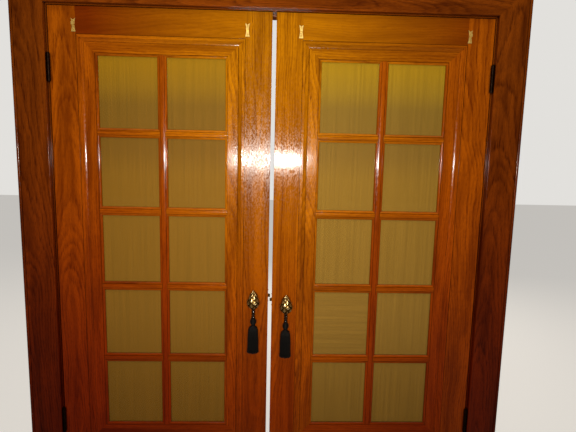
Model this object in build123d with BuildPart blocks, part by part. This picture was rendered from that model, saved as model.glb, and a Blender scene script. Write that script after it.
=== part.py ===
from build123d import *
import math
import os

# A pair of glazed oak doors in one frame, closed, seen from the side they open towards.
# X runs along the doorway, -Y is the front and +Z is up.
# The origin is the middle of the unit's width and depth, at floor level.
# Every leaf piece is drawn for the right-hand leaf. The left-hand one is its mirror image.

# Leaves and the gaps round them
LEAF_WIDTH = 864.0
LEAF_HEIGHT = 2032.0
LEAF_THICK = 35.0
FACE_Y = -44.0
HINGE_GAP = 3.0
MEETING_GAP = 16.0
HEAD_GAP = 3.0
FLOOR_GAP = 10.0

# Stiles, rails and their joints
STILE_WIDTH = 104.0
TOP_RAIL = 102.0
BOTTOM_RAIL = 235.0
TENON_THICK = 12.0
TENON_LENGTH = 60.0
TENON_SHOULDER = 20.0
TONGUE = 8.0
JOINT_CLEAR = 0.2

# Moulded frame round the glass, and the bars
MOULDING_WIDTH = 78.5
MOULDING_BACK_INSET = 1.5
QUIRK_WIDTH = 2.0
QUIRK_DEPTH = 2.0
FILLET_END = 13.0
COVE_START = 2.0
COVE_END = 29.0
COVE_DEPTH = 7.5
BAND_DEPTH = 3.5
BAR_WIDTH = 37.0
BAR_BACK_INSET = 4.0
BAR_CROWN = 1.2
STICKING = 10.0
STICKING_DEPTH = 9.0
STICKING_QUIRK = 1.6
STICKING_QUIRK_DEPTH = 6.0
COLUMNS = 2
ROWS = 5

# Glass, its film and the beads behind it
GLASS_DEPTH = 12.0
GLASS_THICK = 3.0
GLASS_CLEAR = 1.5
FILM_THICK = 0.4
FILM_MARGIN = 1.5
BEAD_HEIGHT = 13.0
BEAD_CHAMFER = 5.0
MITRE_GAP = 0.1

# Frame
JAMB_THICK = 19.0
JAMB_DEPTH = 133.0
HOUSING_DEPTH = 6.0
STOP_THICK = 11.0
STOP_WIDTH = 33.0
STOP_CLEAR = 1.5
STOP_EDGE = 2.0
CASING_WIDTH = 127.0
CASING_THICK = 19.0
CASING_REVEAL = 6.0
CASING_BEAD = 12.0
CASING_BEAD_PROUD = 3.0
CASING_EDGE_RADIUS = 3.0

# Butt hinges
HINGE_HEIGHT = 102.0
HINGE_PLATE = 29.0
HINGE_PLATE_THICK = 2.5
HINGE_TOP_OFFSET = 180.0
HINGE_BOTTOM_OFFSET = 280.0
KNUCKLES = 5
KNUCKLE_RADIUS = 6.35
KNUCKLE_GAP = 0.3
PIN_RADIUS = 3.15
PIN_CLEAR = 0.05
PIN_HEAD_HEIGHT = 4.0
PIN_HEAD_RADIUS = 5.6
HINGE_SCREW_RADIUS = 2.1
HINGE_SCREW_HEAD = 4.2
HINGE_SCREW_LENGTH = 25.0
JAMB_SCREW_COVER = 3.0
HINGE_SCREW_PITCH = 25.0
HINGE_SCREW_STAGGER = 5.0
SCREW_CLEAR = 0.1

# Lock set: height of the left-hand one above the leaf's foot, and how far lower the other is
LOCK_HEIGHT = 889.0
LOCK_DROP = 18.0
BACKSET = 60.0
SPINDLE = 8.0
SPINDLE_CLEAR = 0.05
ROSE_RADIUS = 16.0
ROSE_THICK = 6.0
ROSE_EDGE = 1.0
SHANK_RADIUS = 8.0
SHANK_CLEAR = 0.1
KNOB_REACH = 66.0
KNOB_WIDTH = 55.0
KNOB_HEIGHT = 80.0
KNOB_THICK = 32.0
KNOB_WIDEST = -9.0
KNOB_FOOT = 12.0
SOCKET_DEPTH = 28.0
FACEPLATE_HEIGHT = 57.0
FACEPLATE_WIDTH = 25.0
FACEPLATE_THICK = 2.5
CASE_RADIUS = 12.5
CASE_WALL = 1.2
CASE_LENGTH = 78.0
CASE_CLEAR = 0.1
GUIDE_THICK = 4.0
CAM_RADIUS = 6.3
CAM_FINGER = 10.6
CAM_FINGER_THICK = 4.0
BOLT_PROUD = 9.0
BOLT_THICK = 11.0
BOLT_HEIGHT = 13.0
BOLT_BODY = 14.0
BOLT_CLEAR = 0.3
TAIL_THICK = 2.6
TAIL_HEIGHT = 2.6

# Small round-head trim screws of the rose, faceplate and rod brackets
TRIM_SCREW_RADIUS = 1.4
TRIM_SCREW_HEAD = 2.8
TRIM_SCREW_HEAD_HEIGHT = 1.6
TRIM_SCREW_LENGTH = 13.0

# Curtain-rod brackets on the front
BRACKET_EDGE = 97.0
BRACKET_DROP = 70.0
BRACKET_WIDTH = 17.0
BRACKET_WAIST = 10.0
BRACKET_HEIGHT = 50.0
BRACKET_THICK = 1.6
BRACKET_NOTCH = 6.0
BRACKET_ROD = 8.0
BRACKET_PRONG = 10.0
BRACKET_SCREW_PITCH = 16.0

# Tassels, hung on the front knobs; heights run down from the knob's axis
TASSEL_REACH = 29.0
TASSEL_CORD_RADIUS = 1.5
TASSEL_CORD_CLEAR = 0.3
TASSEL_TOP = 42.0
TASSEL_BEADS = 4
TASSEL_BEAD_RADIUS = 8.0
TASSEL_BEAD_HEIGHT = 11.0
TASSEL_BEAD_GAP = 0.1
TASSEL_KNOT_RADIUS = 13.0
TASSEL_KNOT_HEIGHT = 29.0
TASSEL_WAIST_RADIUS = 6.0
TASSEL_WAIST = 4.0
TASSEL_SHOULDER_RADIUS = 19.0
TASSEL_SKIRT_RADIUS = 23.0
TASSEL_HEM_RADIUS = 26.0
TASSEL_SKIRT_HEIGHT = 120.0
TASSEL_HEM = 12.0

# Places worked out from the sizes above
BACK_Y = FACE_Y + LEAF_THICK
MID_Y = FACE_Y + LEAF_THICK / 2
FREE_X = MEETING_GAP / 2
HINGE_X = FREE_X + LEAF_WIDTH
JAMB_X = HINGE_X + HINGE_GAP
FOOT_Z = FLOOR_GAP
TOP_Z = FOOT_Z + LEAF_HEIGHT
HEAD_Z = TOP_Z + HEAD_GAP
PANEL_LEFT = FREE_X + STILE_WIDTH
PANEL_RIGHT = HINGE_X - STILE_WIDTH
PANEL_BOTTOM = FOOT_Z + BOTTOM_RAIL
PANEL_TOP = TOP_Z - TOP_RAIL
SIGHT_LEFT = PANEL_LEFT + MOULDING_WIDTH
SIGHT_RIGHT = PANEL_RIGHT - MOULDING_WIDTH
SIGHT_BOTTOM = PANEL_BOTTOM + MOULDING_WIDTH
SIGHT_TOP = PANEL_TOP - MOULDING_WIDTH
LITE_WIDTH = (SIGHT_RIGHT - SIGHT_LEFT - (COLUMNS - 1) * BAR_WIDTH) / COLUMNS
LITE_HEIGHT = (SIGHT_TOP - SIGHT_BOTTOM - (ROWS - 1) * BAR_WIDTH) / ROWS
LITE_CENTRES = [
    (
        SIGHT_LEFT + LITE_WIDTH / 2 + column * (LITE_WIDTH + BAR_WIDTH),
        SIGHT_BOTTOM + LITE_HEIGHT / 2 + row * (LITE_HEIGHT + BAR_WIDTH),
    )
    for row in range(ROWS)
    for column in range(COLUMNS)
]
BAR_REACH = STICKING - STICKING_QUIRK
PIN_X = HINGE_X + HINGE_GAP / 2
PIN_Y = FACE_Y - KNUCKLE_RADIUS - KNUCKLE_GAP
HINGE_FEET = [FOOT_Z + HINGE_BOTTOM_OFFSET, TOP_Z - HINGE_TOP_OFFSET - HINGE_HEIGHT]
HINGE_SCREW_HEIGHTS = [HINGE_HEIGHT / 2 + (step - 1.5) * HINGE_SCREW_PITCH for step in range(4)]
LOCK_X = FREE_X + BACKSET
CASE_FRONT = FREE_X + FACEPLATE_THICK
KNOB_BACK = KNOB_REACH - KNOB_THICK

os.makedirs("parts", exist_ok=True)


def keep(piece, name):
    """Labels a finished piece and writes it under its own name."""
    piece.part.label = name
    export_step(piece.part, f"parts/{name}.step")


def handed(side):
    """Inside a part block: turns the right-hand drawing into the left-hand piece."""
    if side < 0:
        mirror(about=Plane.YZ, mode=Mode.REPLACE)


def lock_z(side):
    """Height of the lock set's axis. The right-hand leaf carries its own a little lower."""
    return FOOT_Z + LOCK_HEIGHT - (LOCK_DROP if side > 0 else 0.0)


def slab(low, high, mode=Mode.ADD):
    """A box between two opposite corners."""
    size = [b - a for a, b in zip(low, high)]
    with Locations(tuple((a + b) / 2 for a, b in zip(low, high))):
        Box(*size, mode=mode)


def rod(start, radius, length, along, mode=Mode.ADD):
    """A round bar from its start point, running along a direction."""
    with Locations(Plane(origin=start, z_dir=along)):
        Cylinder(radius, length, align=(Align.CENTER, Align.CENTER, Align.MIN), mode=mode)


# Frame


def side_jamb(side):
    """Side of the frame, with a housing for the head and seats for the hinge plates."""
    with BuildPart() as jamb:
        slab((JAMB_X, FACE_Y, 0), (JAMB_X + JAMB_THICK, FACE_Y + JAMB_DEPTH, HEAD_Z + JAMB_THICK))
        slab(
            (JAMB_X, FACE_Y, HEAD_Z),
            (JAMB_X + HOUSING_DEPTH, FACE_Y + JAMB_DEPTH, HEAD_Z + JAMB_THICK),
            mode=Mode.SUBTRACT,
        )
        for foot in HINGE_FEET:
            slab(
                (JAMB_X, FACE_Y, foot),
                (JAMB_X + HINGE_PLATE_THICK, FACE_Y + HINGE_PLATE, foot + HINGE_HEIGHT),
                mode=Mode.SUBTRACT,
            )
        for y, z in hinge_screw_places():
            hinge_screw_hole((JAMB_X, y, z), 1)
        handed(side)
    return jamb


def head_jamb():
    """Top of the frame, let into both side jambs."""
    reach = JAMB_X + HOUSING_DEPTH - JOINT_CLEAR
    with BuildPart() as jamb:
        slab((-reach, FACE_Y, HEAD_Z), (reach, FACE_Y + JAMB_DEPTH, HEAD_Z + JAMB_THICK))
    return jamb


def door_stops():
    """Strips that the closed leaves meet: one on each side, under one across the head."""
    front = BACK_Y + STOP_CLEAR
    with BuildPart() as stops:
        slab((-JAMB_X, front, HEAD_Z - STOP_THICK), (JAMB_X, front + STOP_WIDTH, HEAD_Z))
        top = HEAD_Z - STOP_THICK - MITRE_GAP
        for edge in (-JAMB_X, JAMB_X - STOP_THICK):
            slab((edge, front, 0), (edge + STOP_THICK, front + STOP_WIDTH, top))
        inner = [edge for edge in stops.edges().filter_by(Axis.Z) if is_inner_stop_edge(edge)]
        chamfer(inner, STOP_EDGE)
    return stops


def is_inner_stop_edge(edge):
    """True for the upright edges of the side stops that face the doorway."""
    return abs(abs(edge.center().X) - (JAMB_X - STOP_THICK)) < 0.01


def casing_section():
    """Section of the casing: x from the doorway outwards, y from the wall outwards."""
    bead_start = CASING_WIDTH - CASING_BEAD
    with BuildSketch() as section:
        with BuildLine():
            Line((0, 0), (0, CASING_THICK - CASING_EDGE_RADIUS))
            RadiusArc(
                (0, CASING_THICK - CASING_EDGE_RADIUS),
                (CASING_EDGE_RADIUS, CASING_THICK),
                CASING_EDGE_RADIUS,
            )
            Polyline(
                (CASING_EDGE_RADIUS, CASING_THICK),
                (bead_start - CASING_EDGE_RADIUS / 2, CASING_THICK),
                (bead_start, CASING_THICK - CASING_EDGE_RADIUS / 2),
            )
            ThreePointArc(
                (bead_start, CASING_THICK - CASING_EDGE_RADIUS / 2),
                (bead_start + CASING_BEAD / 2, CASING_THICK + CASING_BEAD_PROUD),
                (CASING_WIDTH, CASING_THICK - CASING_EDGE_RADIUS / 2),
            )
            Polyline((CASING_WIDTH, CASING_THICK - CASING_EDGE_RADIUS / 2), (CASING_WIDTH, 0), (0, 0))
        make_face()
    return section.sketch


def casing_leg(facing):
    """Upright casing board on the right, on the front (-1) or back (1), mitred at its top."""
    inner = JAMB_X + CASING_REVEAL
    corner = HEAD_Z + CASING_REVEAL
    wall = FACE_Y if facing < 0 else FACE_Y + JAMB_DEPTH
    with BuildPart() as leg:
        with BuildSketch():
            add(casing_section())
        extrude(amount=corner + CASING_WIDTH)
        if facing < 0:
            mirror(about=Plane.XZ, mode=Mode.REPLACE)
        split(bisect_by=Plane(origin=(0, 0, corner), z_dir=(1, 0, -1)), keep=Keep.TOP)
    return Location((inner, wall, 0)) * leg.part


def casing_head(facing):
    """Casing board across the top, on the front (-1) or back (1), mitred at both ends."""
    reach = JAMB_X + CASING_REVEAL
    corner = HEAD_Z + CASING_REVEAL
    wall = FACE_Y if facing < 0 else FACE_Y + JAMB_DEPTH
    with BuildPart() as board:
        with BuildSketch():
            add(casing_section())
        extrude(amount=reach + CASING_WIDTH, both=True)
        if facing < 0:
            mirror(about=Plane.XZ, mode=Mode.REPLACE)
        for end in (-1, 1):
            split(bisect_by=Plane(origin=(0, 0, end * reach), z_dir=(1, 0, -end)), keep=Keep.TOP)
    return Plane(origin=(0, wall, corner), x_dir=(0, 0, 1), z_dir=(-1, 0, 0)).location * board.part


def side_casings(side):
    """Front and back casing boards of one side."""
    with BuildPart() as boards:
        for facing in (-1, 1):
            add(casing_leg(facing))
        handed(side)
    return boards


def head_casings():
    """Front and back casing boards over the doorway."""
    with BuildPart() as boards:
        for facing in (-1, 1):
            add(casing_head(facing))
    return boards


# Hinges


def hinge_screw_places():
    """Y and z of every screw of one leaf's two hinges, staggered as on the real plates."""
    middle = FACE_Y + HINGE_PLATE / 2
    shifts = [HINGE_SCREW_STAGGER, -HINGE_SCREW_STAGGER, -HINGE_SCREW_STAGGER, HINGE_SCREW_STAGGER]
    return [
        (middle + shift, foot + height)
        for foot in HINGE_FEET
        for shift, height in zip(shifts, HINGE_SCREW_HEIGHTS)
    ]


def hinge_plate(foot, face_x, into, first_knuckle):
    """One plate of a hinge with its knuckles. Into is the way its screws go, 1 for the jamb."""
    knuckle = HINGE_HEIGHT / KNUCKLES
    low_x = min(face_x, face_x + into * HINGE_PLATE_THICK)
    high_x = max(face_x, face_x + into * HINGE_PLATE_THICK)
    with BuildPart() as plate:
        slab((low_x, FACE_Y, foot), (high_x, FACE_Y + HINGE_PLATE, foot + HINGE_HEIGHT))
        for step in range(first_knuckle, KNUCKLES, 2):
            low_z = foot + step * knuckle + (KNUCKLE_GAP / 2 if step > 0 else 0)
            high_z = foot + (step + 1) * knuckle - (KNUCKLE_GAP / 2 if step < KNUCKLES - 1 else 0)
            rod((PIN_X, PIN_Y, low_z), KNUCKLE_RADIUS, high_z - low_z, (0, 0, 1))
            slab((low_x, PIN_Y, low_z), (high_x, FACE_Y, high_z))
        rod((PIN_X, PIN_Y, foot), PIN_RADIUS + PIN_CLEAR, HINGE_HEIGHT, (0, 0, 1), Mode.SUBTRACT)
        for y, z in hinge_screw_places():
            if foot < z < foot + HINGE_HEIGHT:
                with Locations(Plane(origin=(face_x, y, z), z_dir=(-into, 0, 0))):
                    CounterSinkHole(
                        HINGE_SCREW_RADIUS + SCREW_CLEAR,
                        HINGE_SCREW_HEAD + SCREW_CLEAR,
                        depth=2 * HINGE_PLATE_THICK,
                        counter_sink_angle=82,
                    )
    return plate.part


def leaf_hinge_plates(side):
    """Plates of both hinges that are let into the leaf's edge."""
    with BuildPart() as plates:
        for foot in HINGE_FEET:
            add(hinge_plate(foot, HINGE_X, -1, 1))
        handed(side)
    return plates


def jamb_hinge_plates():
    """Plates of all four hinges that are let into the jambs."""
    with BuildPart() as plates:
        for foot in HINGE_FEET:
            add(hinge_plate(foot, JAMB_X, 1, 0))
        mirror(about=Plane.YZ)
    return plates


def hinge_pins():
    """Loose pins of all four hinges, each with a round head that keeps it up."""
    with BuildPart() as pins:
        for foot in HINGE_FEET:
            top = foot + HINGE_HEIGHT
            rod((PIN_X, PIN_Y, foot), PIN_RADIUS, HINGE_HEIGHT, (0, 0, 1))
            rod((PIN_X, PIN_Y, top), PIN_HEAD_RADIUS, PIN_HEAD_HEIGHT, (0, 0, 1))
            rod((PIN_X, PIN_Y, foot - PIN_HEAD_HEIGHT), PIN_HEAD_RADIUS, PIN_HEAD_HEIGHT, (0, 0, 1))
        rims = pins.edges().filter_by(GeomType.CIRCLE).filter_by(lambda rim: rim.radius > PIN_RADIUS + 1)
        ends = [rim for rim in rims if min(abs(rim.center().Z - z) for z in pin_ends()) < 0.01]
        fillet(ends, PIN_HEAD_HEIGHT / 2)
        mirror(about=Plane.YZ)
    return pins


def pin_ends():
    """Heights of the outer faces of the pin heads."""
    tops = [foot + HINGE_HEIGHT + PIN_HEAD_HEIGHT for foot in HINGE_FEET]
    return tops + [foot - PIN_HEAD_HEIGHT for foot in HINGE_FEET]


def countersunk_screw(radius, head, length):
    """Wood screw with its head's flat face at the origin, pointing down."""
    cone = (head - radius) / math.tan(math.radians(41))
    with BuildPart() as screw:
        with BuildSketch(Plane.XZ):
            with BuildLine():
                Polyline(
                    (0, 0),
                    (head, 0),
                    (radius, -cone),
                    (radius, 3 * radius - length),
                    (0, -length),
                    close=True,
                )
            make_face()
        revolve(axis=Axis.Z)
    return screw.part


def hinge_screws(face_x, into, side):
    """Screws of one set of hinge plates, in the leaf's edge or in the jamb."""
    with BuildPart() as screws:
        one = countersunk_screw(HINGE_SCREW_RADIUS, HINGE_SCREW_HEAD, screw_length(into))
        for y, z in hinge_screw_places():
            with Locations(Plane(origin=(face_x, y, z), z_dir=(-into, 0, 0))):
                add(one)
        handed(side)
    return screws


def screw_length(into):
    """The jamb's screws end inside it, under a cover of wood, and the leaf's are full length."""
    return HINGE_SCREW_LENGTH if into < 0 else JAMB_THICK - JAMB_SCREW_COVER


def hinge_screw_hole(start, into):
    """Blind pilot hole for a hinge screw, in the jamb (1) or the leaf's edge (-1)."""
    length = screw_length(into) + SCREW_CLEAR
    rod(start, HINGE_SCREW_RADIUS + SCREW_CLEAR, length, (into, 0, 0), Mode.SUBTRACT)


def jamb_hinge_screws():
    """Screws of the four plates that are let into the jambs."""
    with BuildPart() as screws:
        add(hinge_screws(JAMB_X, 1, 1).part)
        mirror(about=Plane.YZ)
    return screws


# Leaf woodwork


def hinge_stile(side):
    """Stile that hangs on the hinges, mortised for both rails and grooved for the moulding."""
    with BuildPart() as stile:
        slab((PANEL_RIGHT, FACE_Y, FOOT_Z), (HINGE_X, BACK_Y, TOP_Z))
        cut_stile_joints(PANEL_RIGHT, 1)
        for foot in HINGE_FEET:
            slab(
                (HINGE_X - HINGE_PLATE_THICK, FACE_Y, foot),
                (HINGE_X, FACE_Y + HINGE_PLATE, foot + HINGE_HEIGHT),
                mode=Mode.SUBTRACT,
            )
        for y, z in hinge_screw_places():
            hinge_screw_hole((HINGE_X, y, z), -1)
        for x, z, length in bracket_screw_holes():
            if x > PANEL_RIGHT - BRACKET_WIDTH:
                trim_screw_hole((x, FACE_Y, z), (0, 1, 0), length)
        handed(side)
    return stile


def cut_stile_joints(edge, into):
    """Mortises for the rails' tenons and the groove for the moulding, in a stile's inner edge."""
    ends = sorted((edge, edge + into * TENON_LENGTH))
    half = TENON_THICK / 2 + JOINT_CLEAR
    for low, high in tenon_spans():
        slab(
            (ends[0], MID_Y - half, low - JOINT_CLEAR),
            (ends[1], MID_Y + half, high + JOINT_CLEAR),
            mode=Mode.SUBTRACT,
        )
    depth = into * (TONGUE + JOINT_CLEAR)
    slab(
        (min(edge, edge + depth), MID_Y - TONGUE / 2 - JOINT_CLEAR, PANEL_BOTTOM),
        (max(edge, edge + depth), MID_Y + TONGUE / 2 + JOINT_CLEAR, PANEL_TOP),
        mode=Mode.SUBTRACT,
    )


def tenon_spans():
    """Lowest and highest point of each rail's tenon."""
    return [
        (FOOT_Z + TENON_SHOULDER, PANEL_BOTTOM - TENON_SHOULDER),
        (PANEL_TOP + TENON_SHOULDER, TOP_Z - TENON_SHOULDER),
    ]


def rail(low, high, tenon, groove_edge, side):
    """A rail between the stiles with a tenon at each end and a groove along its inner edge."""
    with BuildPart() as board:
        slab((PANEL_LEFT, FACE_Y, low), (PANEL_RIGHT, BACK_Y, high))
        slab(
            (PANEL_LEFT - TENON_LENGTH + JOINT_CLEAR, MID_Y - TENON_THICK / 2, tenon[0]),
            (PANEL_RIGHT + TENON_LENGTH - JOINT_CLEAR, MID_Y + TENON_THICK / 2, tenon[1]),
        )
        into = 1 if groove_edge == low else -1
        depth = into * (TONGUE + JOINT_CLEAR)
        slab(
            (PANEL_LEFT, MID_Y - TONGUE / 2 - JOINT_CLEAR, min(groove_edge, groove_edge + depth)),
            (PANEL_RIGHT, MID_Y + TONGUE / 2 + JOINT_CLEAR, max(groove_edge, groove_edge + depth)),
            mode=Mode.SUBTRACT,
        )
        handed(side)
    return board


def lock_stile(side):
    """Stile with the latch's bore, the spindle's cross bore and the faceplate's seat."""
    z = lock_z(side)
    with BuildPart() as stile:
        slab((FREE_X, FACE_Y, FOOT_Z), (PANEL_LEFT, BACK_Y, TOP_Z))
        cut_stile_joints(PANEL_LEFT, -1)
        slab(
            (FREE_X, MID_Y - FACEPLATE_WIDTH / 2, z - FACEPLATE_HEIGHT / 2),
            (CASE_FRONT, MID_Y + FACEPLATE_WIDTH / 2, z + FACEPLATE_HEIGHT / 2),
            mode=Mode.SUBTRACT,
        )
        bore = CASE_FRONT - FREE_X + CASE_LENGTH
        rod((FREE_X, MID_Y, z), CASE_RADIUS + CASE_CLEAR, bore, (1, 0, 0), Mode.SUBTRACT)
        rod((LOCK_X, FACE_Y, z), SHANK_RADIUS + SHANK_CLEAR, LEAF_THICK, (0, 1, 0), Mode.SUBTRACT)
        for start, along, length in lock_screw_holes(z):
            trim_screw_hole(start, along, length)
        for x, height, length in bracket_screw_holes():
            if x < PANEL_LEFT + BRACKET_WIDTH:
                trim_screw_hole((x, FACE_Y, height), (0, 1, 0), length)
        handed(side)
    return stile


# Moulded frame and bars


def run_plane(start, along):
    """Plane of a section that runs along a direction in the leaf. Its y goes into the leaf."""
    run = Vector(*along)
    return Plane(origin=start, x_dir=(run.Z, 0, -run.X), z_dir=run)


def sticking(edge, into):
    """Points of the moulded edge beside the glass, from the sight line inwards, with its rebate."""
    return [
        (edge, GLASS_DEPTH),
        (edge, STICKING_DEPTH),
        (edge + into * (STICKING - STICKING_QUIRK), STICKING_QUIRK_DEPTH - 1.5),
        (edge + into * (STICKING - STICKING_QUIRK), STICKING_QUIRK_DEPTH),
        (edge + into * STICKING, STICKING_QUIRK_DEPTH),
        (edge + into * STICKING, BAND_DEPTH),
    ]


def moulded_edge(points):
    """The sticking's outline: straight, but for the rounded face that falls to the glass."""
    glass, low, high, quirk, shoulder, band = points
    Line(glass, low)
    TangentArc(high, low, tangent=(low[0] - high[0], 0))
    Polyline(high, quirk, shoulder, band)


def moulding_section():
    """Moulding round the glass: x from the stile towards the glass, y from the face inwards."""
    glass_edge = sticking(MOULDING_WIDTH, -1)
    back = LEAF_THICK - MOULDING_BACK_INSET
    rebate = MOULDING_WIDTH - STICKING
    cove_middle = ((FILLET_END + COVE_END) / 2 + 2, COVE_DEPTH - 0.8)
    with BuildSketch() as section:
        with BuildLine():
            Polyline(
                (0, back),
                (0, QUIRK_DEPTH),
                (QUIRK_WIDTH, QUIRK_DEPTH),
                (QUIRK_WIDTH, 0),
                (FILLET_END, 0),
                (FILLET_END, COVE_START),
            )
            ThreePointArc((FILLET_END, COVE_START), cove_middle, (COVE_END, COVE_DEPTH))
            Polyline((COVE_END, COVE_DEPTH), (COVE_END, BAND_DEPTH), glass_edge[-1])
            moulded_edge(glass_edge)
            Polyline(glass_edge[0], (rebate, GLASS_DEPTH), (rebate, back), (0, back))
        make_face()
    return section.sketch


def bar_section():
    """Glazing bar: x across it from its middle, y from the face inwards."""
    half = BAR_WIDTH / 2
    web = half - STICKING
    left = sticking(-half, 1)
    right = sticking(half, -1)
    back = LEAF_THICK - BAR_BACK_INSET
    with BuildSketch() as section:
        with BuildLine():
            moulded_edge(left)
            ThreePointArc(left[-1], (0, BAND_DEPTH - BAR_CROWN), right[-1])
            moulded_edge(right)
            Polyline(
                right[0],
                (web, GLASS_DEPTH),
                (web, back),
                (-web, back),
                (-web, GLASS_DEPTH),
                left[0],
            )
        make_face()
    return section.sketch


def mitred_run(section, start, along, length):
    """A section run along one side of a rectangle and mitred at both ends."""
    plane = run_plane(start, along)
    run = Vector(*along)
    inward = plane.x_dir
    end = Vector(*start) + run * length
    with BuildPart() as piece:
        with BuildSketch(plane):
            add(section)
        extrude(amount=length)
        split(bisect_by=Plane(origin=start, z_dir=run - inward), keep=Keep.TOP)
        split(bisect_by=Plane(origin=end, z_dir=-run - inward), keep=Keep.TOP)
    return piece.part


def moulding_member(start, along, length):
    """One side of the moulded frame, with the tongue that enters the stile or rail."""
    plane = run_plane(start, along)
    with BuildPart() as member:
        add(mitred_run(moulding_section(), start, along, length))
        with BuildSketch(plane):
            with Locations((-TONGUE / 2, LEAF_THICK / 2)):
                Rectangle(TONGUE, TONGUE)
        extrude(amount=length - JOINT_CLEAR)
        with BuildSketch(plane):
            with Locations((-TONGUE / 2, LEAF_THICK / 2)):
                Rectangle(TONGUE + JOINT_CLEAR, TONGUE + JOINT_CLEAR)
        extrude(amount=JOINT_CLEAR, mode=Mode.SUBTRACT)
    return member.part


def moulding_uprights(side):
    """The two upright sides of the moulded frame."""
    height = PANEL_TOP - PANEL_BOTTOM
    with BuildPart() as uprights:
        add(moulding_member((PANEL_LEFT, FACE_Y, PANEL_BOTTOM), (0, 0, 1), height))
        add(moulding_member((PANEL_RIGHT, FACE_Y, PANEL_TOP), (0, 0, -1), height))
        handed(side)
    return uprights


def moulding_rails(side):
    """The top and bottom of the moulded frame."""
    width = PANEL_RIGHT - PANEL_LEFT
    with BuildPart() as rails:
        add(moulding_member((PANEL_LEFT, FACE_Y, PANEL_TOP), (1, 0, 0), width))
        add(moulding_member((PANEL_RIGHT, FACE_Y, PANEL_BOTTOM), (-1, 0, 0), width))
        handed(side)
    return rails


def upright_bar(side):
    """The bar between the two columns of glass, coped over the moulding at both ends."""
    foot = SIGHT_BOTTOM - BAR_REACH
    height = SIGHT_TOP - SIGHT_BOTTOM + 2 * BAR_REACH
    middle = (SIGHT_LEFT + SIGHT_RIGHT) / 2
    with BuildPart() as bar:
        with BuildSketch(run_plane((middle, FACE_Y, foot), (0, 0, 1))):
            add(bar_section())
        extrude(amount=height)
        add(moulding_rails(1).part, mode=Mode.SUBTRACT)
        handed(side)
    return bar


def cross_bars(side):
    """Short bars between the rows, coped over the moulding and over the upright bar."""
    with BuildPart() as bars:
        for row in range(1, ROWS):
            z = SIGHT_BOTTOM + row * (LITE_HEIGHT + BAR_WIDTH) - BAR_WIDTH / 2
            for column in range(COLUMNS):
                left = SIGHT_LEFT + column * (LITE_WIDTH + BAR_WIDTH) - BAR_REACH
                with BuildSketch(run_plane((left, FACE_Y, z), (1, 0, 0))):
                    add(bar_section())
                extrude(amount=LITE_WIDTH + 2 * BAR_REACH)
        add(moulding_uprights(1).part, mode=Mode.SUBTRACT)
        add(upright_bar(1).part, mode=Mode.SUBTRACT)
        handed(side)
    return bars


# Glazing


def panes(side):
    """Ten sheets of glass, each held in the rebate behind its opening."""
    spare = 2 * (STICKING - GLASS_CLEAR)
    with BuildPart() as glass:
        with Locations(*[(x, FACE_Y + GLASS_DEPTH + GLASS_THICK / 2, z) for x, z in LITE_CENTRES]):
            Box(LITE_WIDTH + spare, GLASS_THICK, LITE_HEIGHT + spare)
        handed(side)
    return glass


def privacy_film(side):
    """Thin ribbed film on the back of each pane, stopping short of the wood."""
    y = FACE_Y + GLASS_DEPTH + GLASS_THICK + FILM_THICK / 2
    with BuildPart() as film:
        with Locations(*[(x, y, z) for x, z in LITE_CENTRES]):
            Box(LITE_WIDTH - 2 * FILM_MARGIN, FILM_THICK, LITE_HEIGHT - 2 * FILM_MARGIN)
        handed(side)
    return film


def bead_section():
    """Glazing bead: x from the rebate's wall towards the glass, y from the glass backwards."""
    with BuildSketch() as section:
        with BuildLine():
            Polyline(
                (0, 0),
                (STICKING, 0),
                (STICKING, BEAD_HEIGHT - BEAD_CHAMFER),
                (STICKING - BEAD_CHAMFER, BEAD_HEIGHT),
                (0, BEAD_HEIGHT),
                close=True,
            )
        make_face()
    return section.sketch


def glazing_beads(side):
    """Mitred beads that hold the panes from the back, four to a pane."""
    width = LITE_WIDTH + 2 * STICKING
    height = LITE_HEIGHT + 2 * STICKING
    y = FACE_Y + GLASS_DEPTH + GLASS_THICK
    gap = MITRE_GAP
    runs = [
        ((-width / 2, 0, gap - height / 2), (0, 0, 1), height - 2 * gap),
        ((gap - width / 2, 0, height / 2), (1, 0, 0), width - 2 * gap),
        ((width / 2, 0, height / 2 - gap), (0, 0, -1), height - 2 * gap),
        ((width / 2 - gap, 0, -height / 2), (-1, 0, 0), width - 2 * gap),
    ]
    with BuildPart() as beads:
        for start, along, length in runs:
            piece = mitred_run(bead_section(), start, along, length)
            with Locations(*[(x, y, z) for x, z in LITE_CENTRES]):
                add(piece)
        handed(side)
    return beads


# Lock set


def latch_case(side):
    """Tube of the latch, with a guide for the bolt at its mouth and openings for the spindle."""
    z = lock_z(side)
    inside = CASE_RADIUS - CASE_WALL
    guide_end = CASE_FRONT + GUIDE_THICK
    window = CAM_RADIUS + SHANK_CLEAR
    with BuildPart() as case:
        rod((CASE_FRONT, MID_Y, z), CASE_RADIUS, CASE_LENGTH, (1, 0, 0))
        hollow = CASE_LENGTH - GUIDE_THICK - CASE_WALL
        rod((guide_end, MID_Y, z), inside, hollow, (1, 0, 0), Mode.SUBTRACT)
        bolt_window(CASE_FRONT, guide_end, z)
        rod((LOCK_X, MID_Y - CASE_RADIUS, z), window, 2 * CASE_RADIUS, (0, 1, 0), Mode.SUBTRACT)
        handed(side)
    return case


def bolt_window(start, end, z):
    """Cuts the bolt's running window through a plate that faces the meeting gap."""
    half_thick = BOLT_THICK / 2 + BOLT_CLEAR
    half_height = BOLT_HEIGHT / 2 + BOLT_CLEAR
    slab(
        (start, MID_Y - half_thick, z - half_height),
        (end, MID_Y + half_thick, z + half_height),
        mode=Mode.SUBTRACT,
    )


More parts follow.
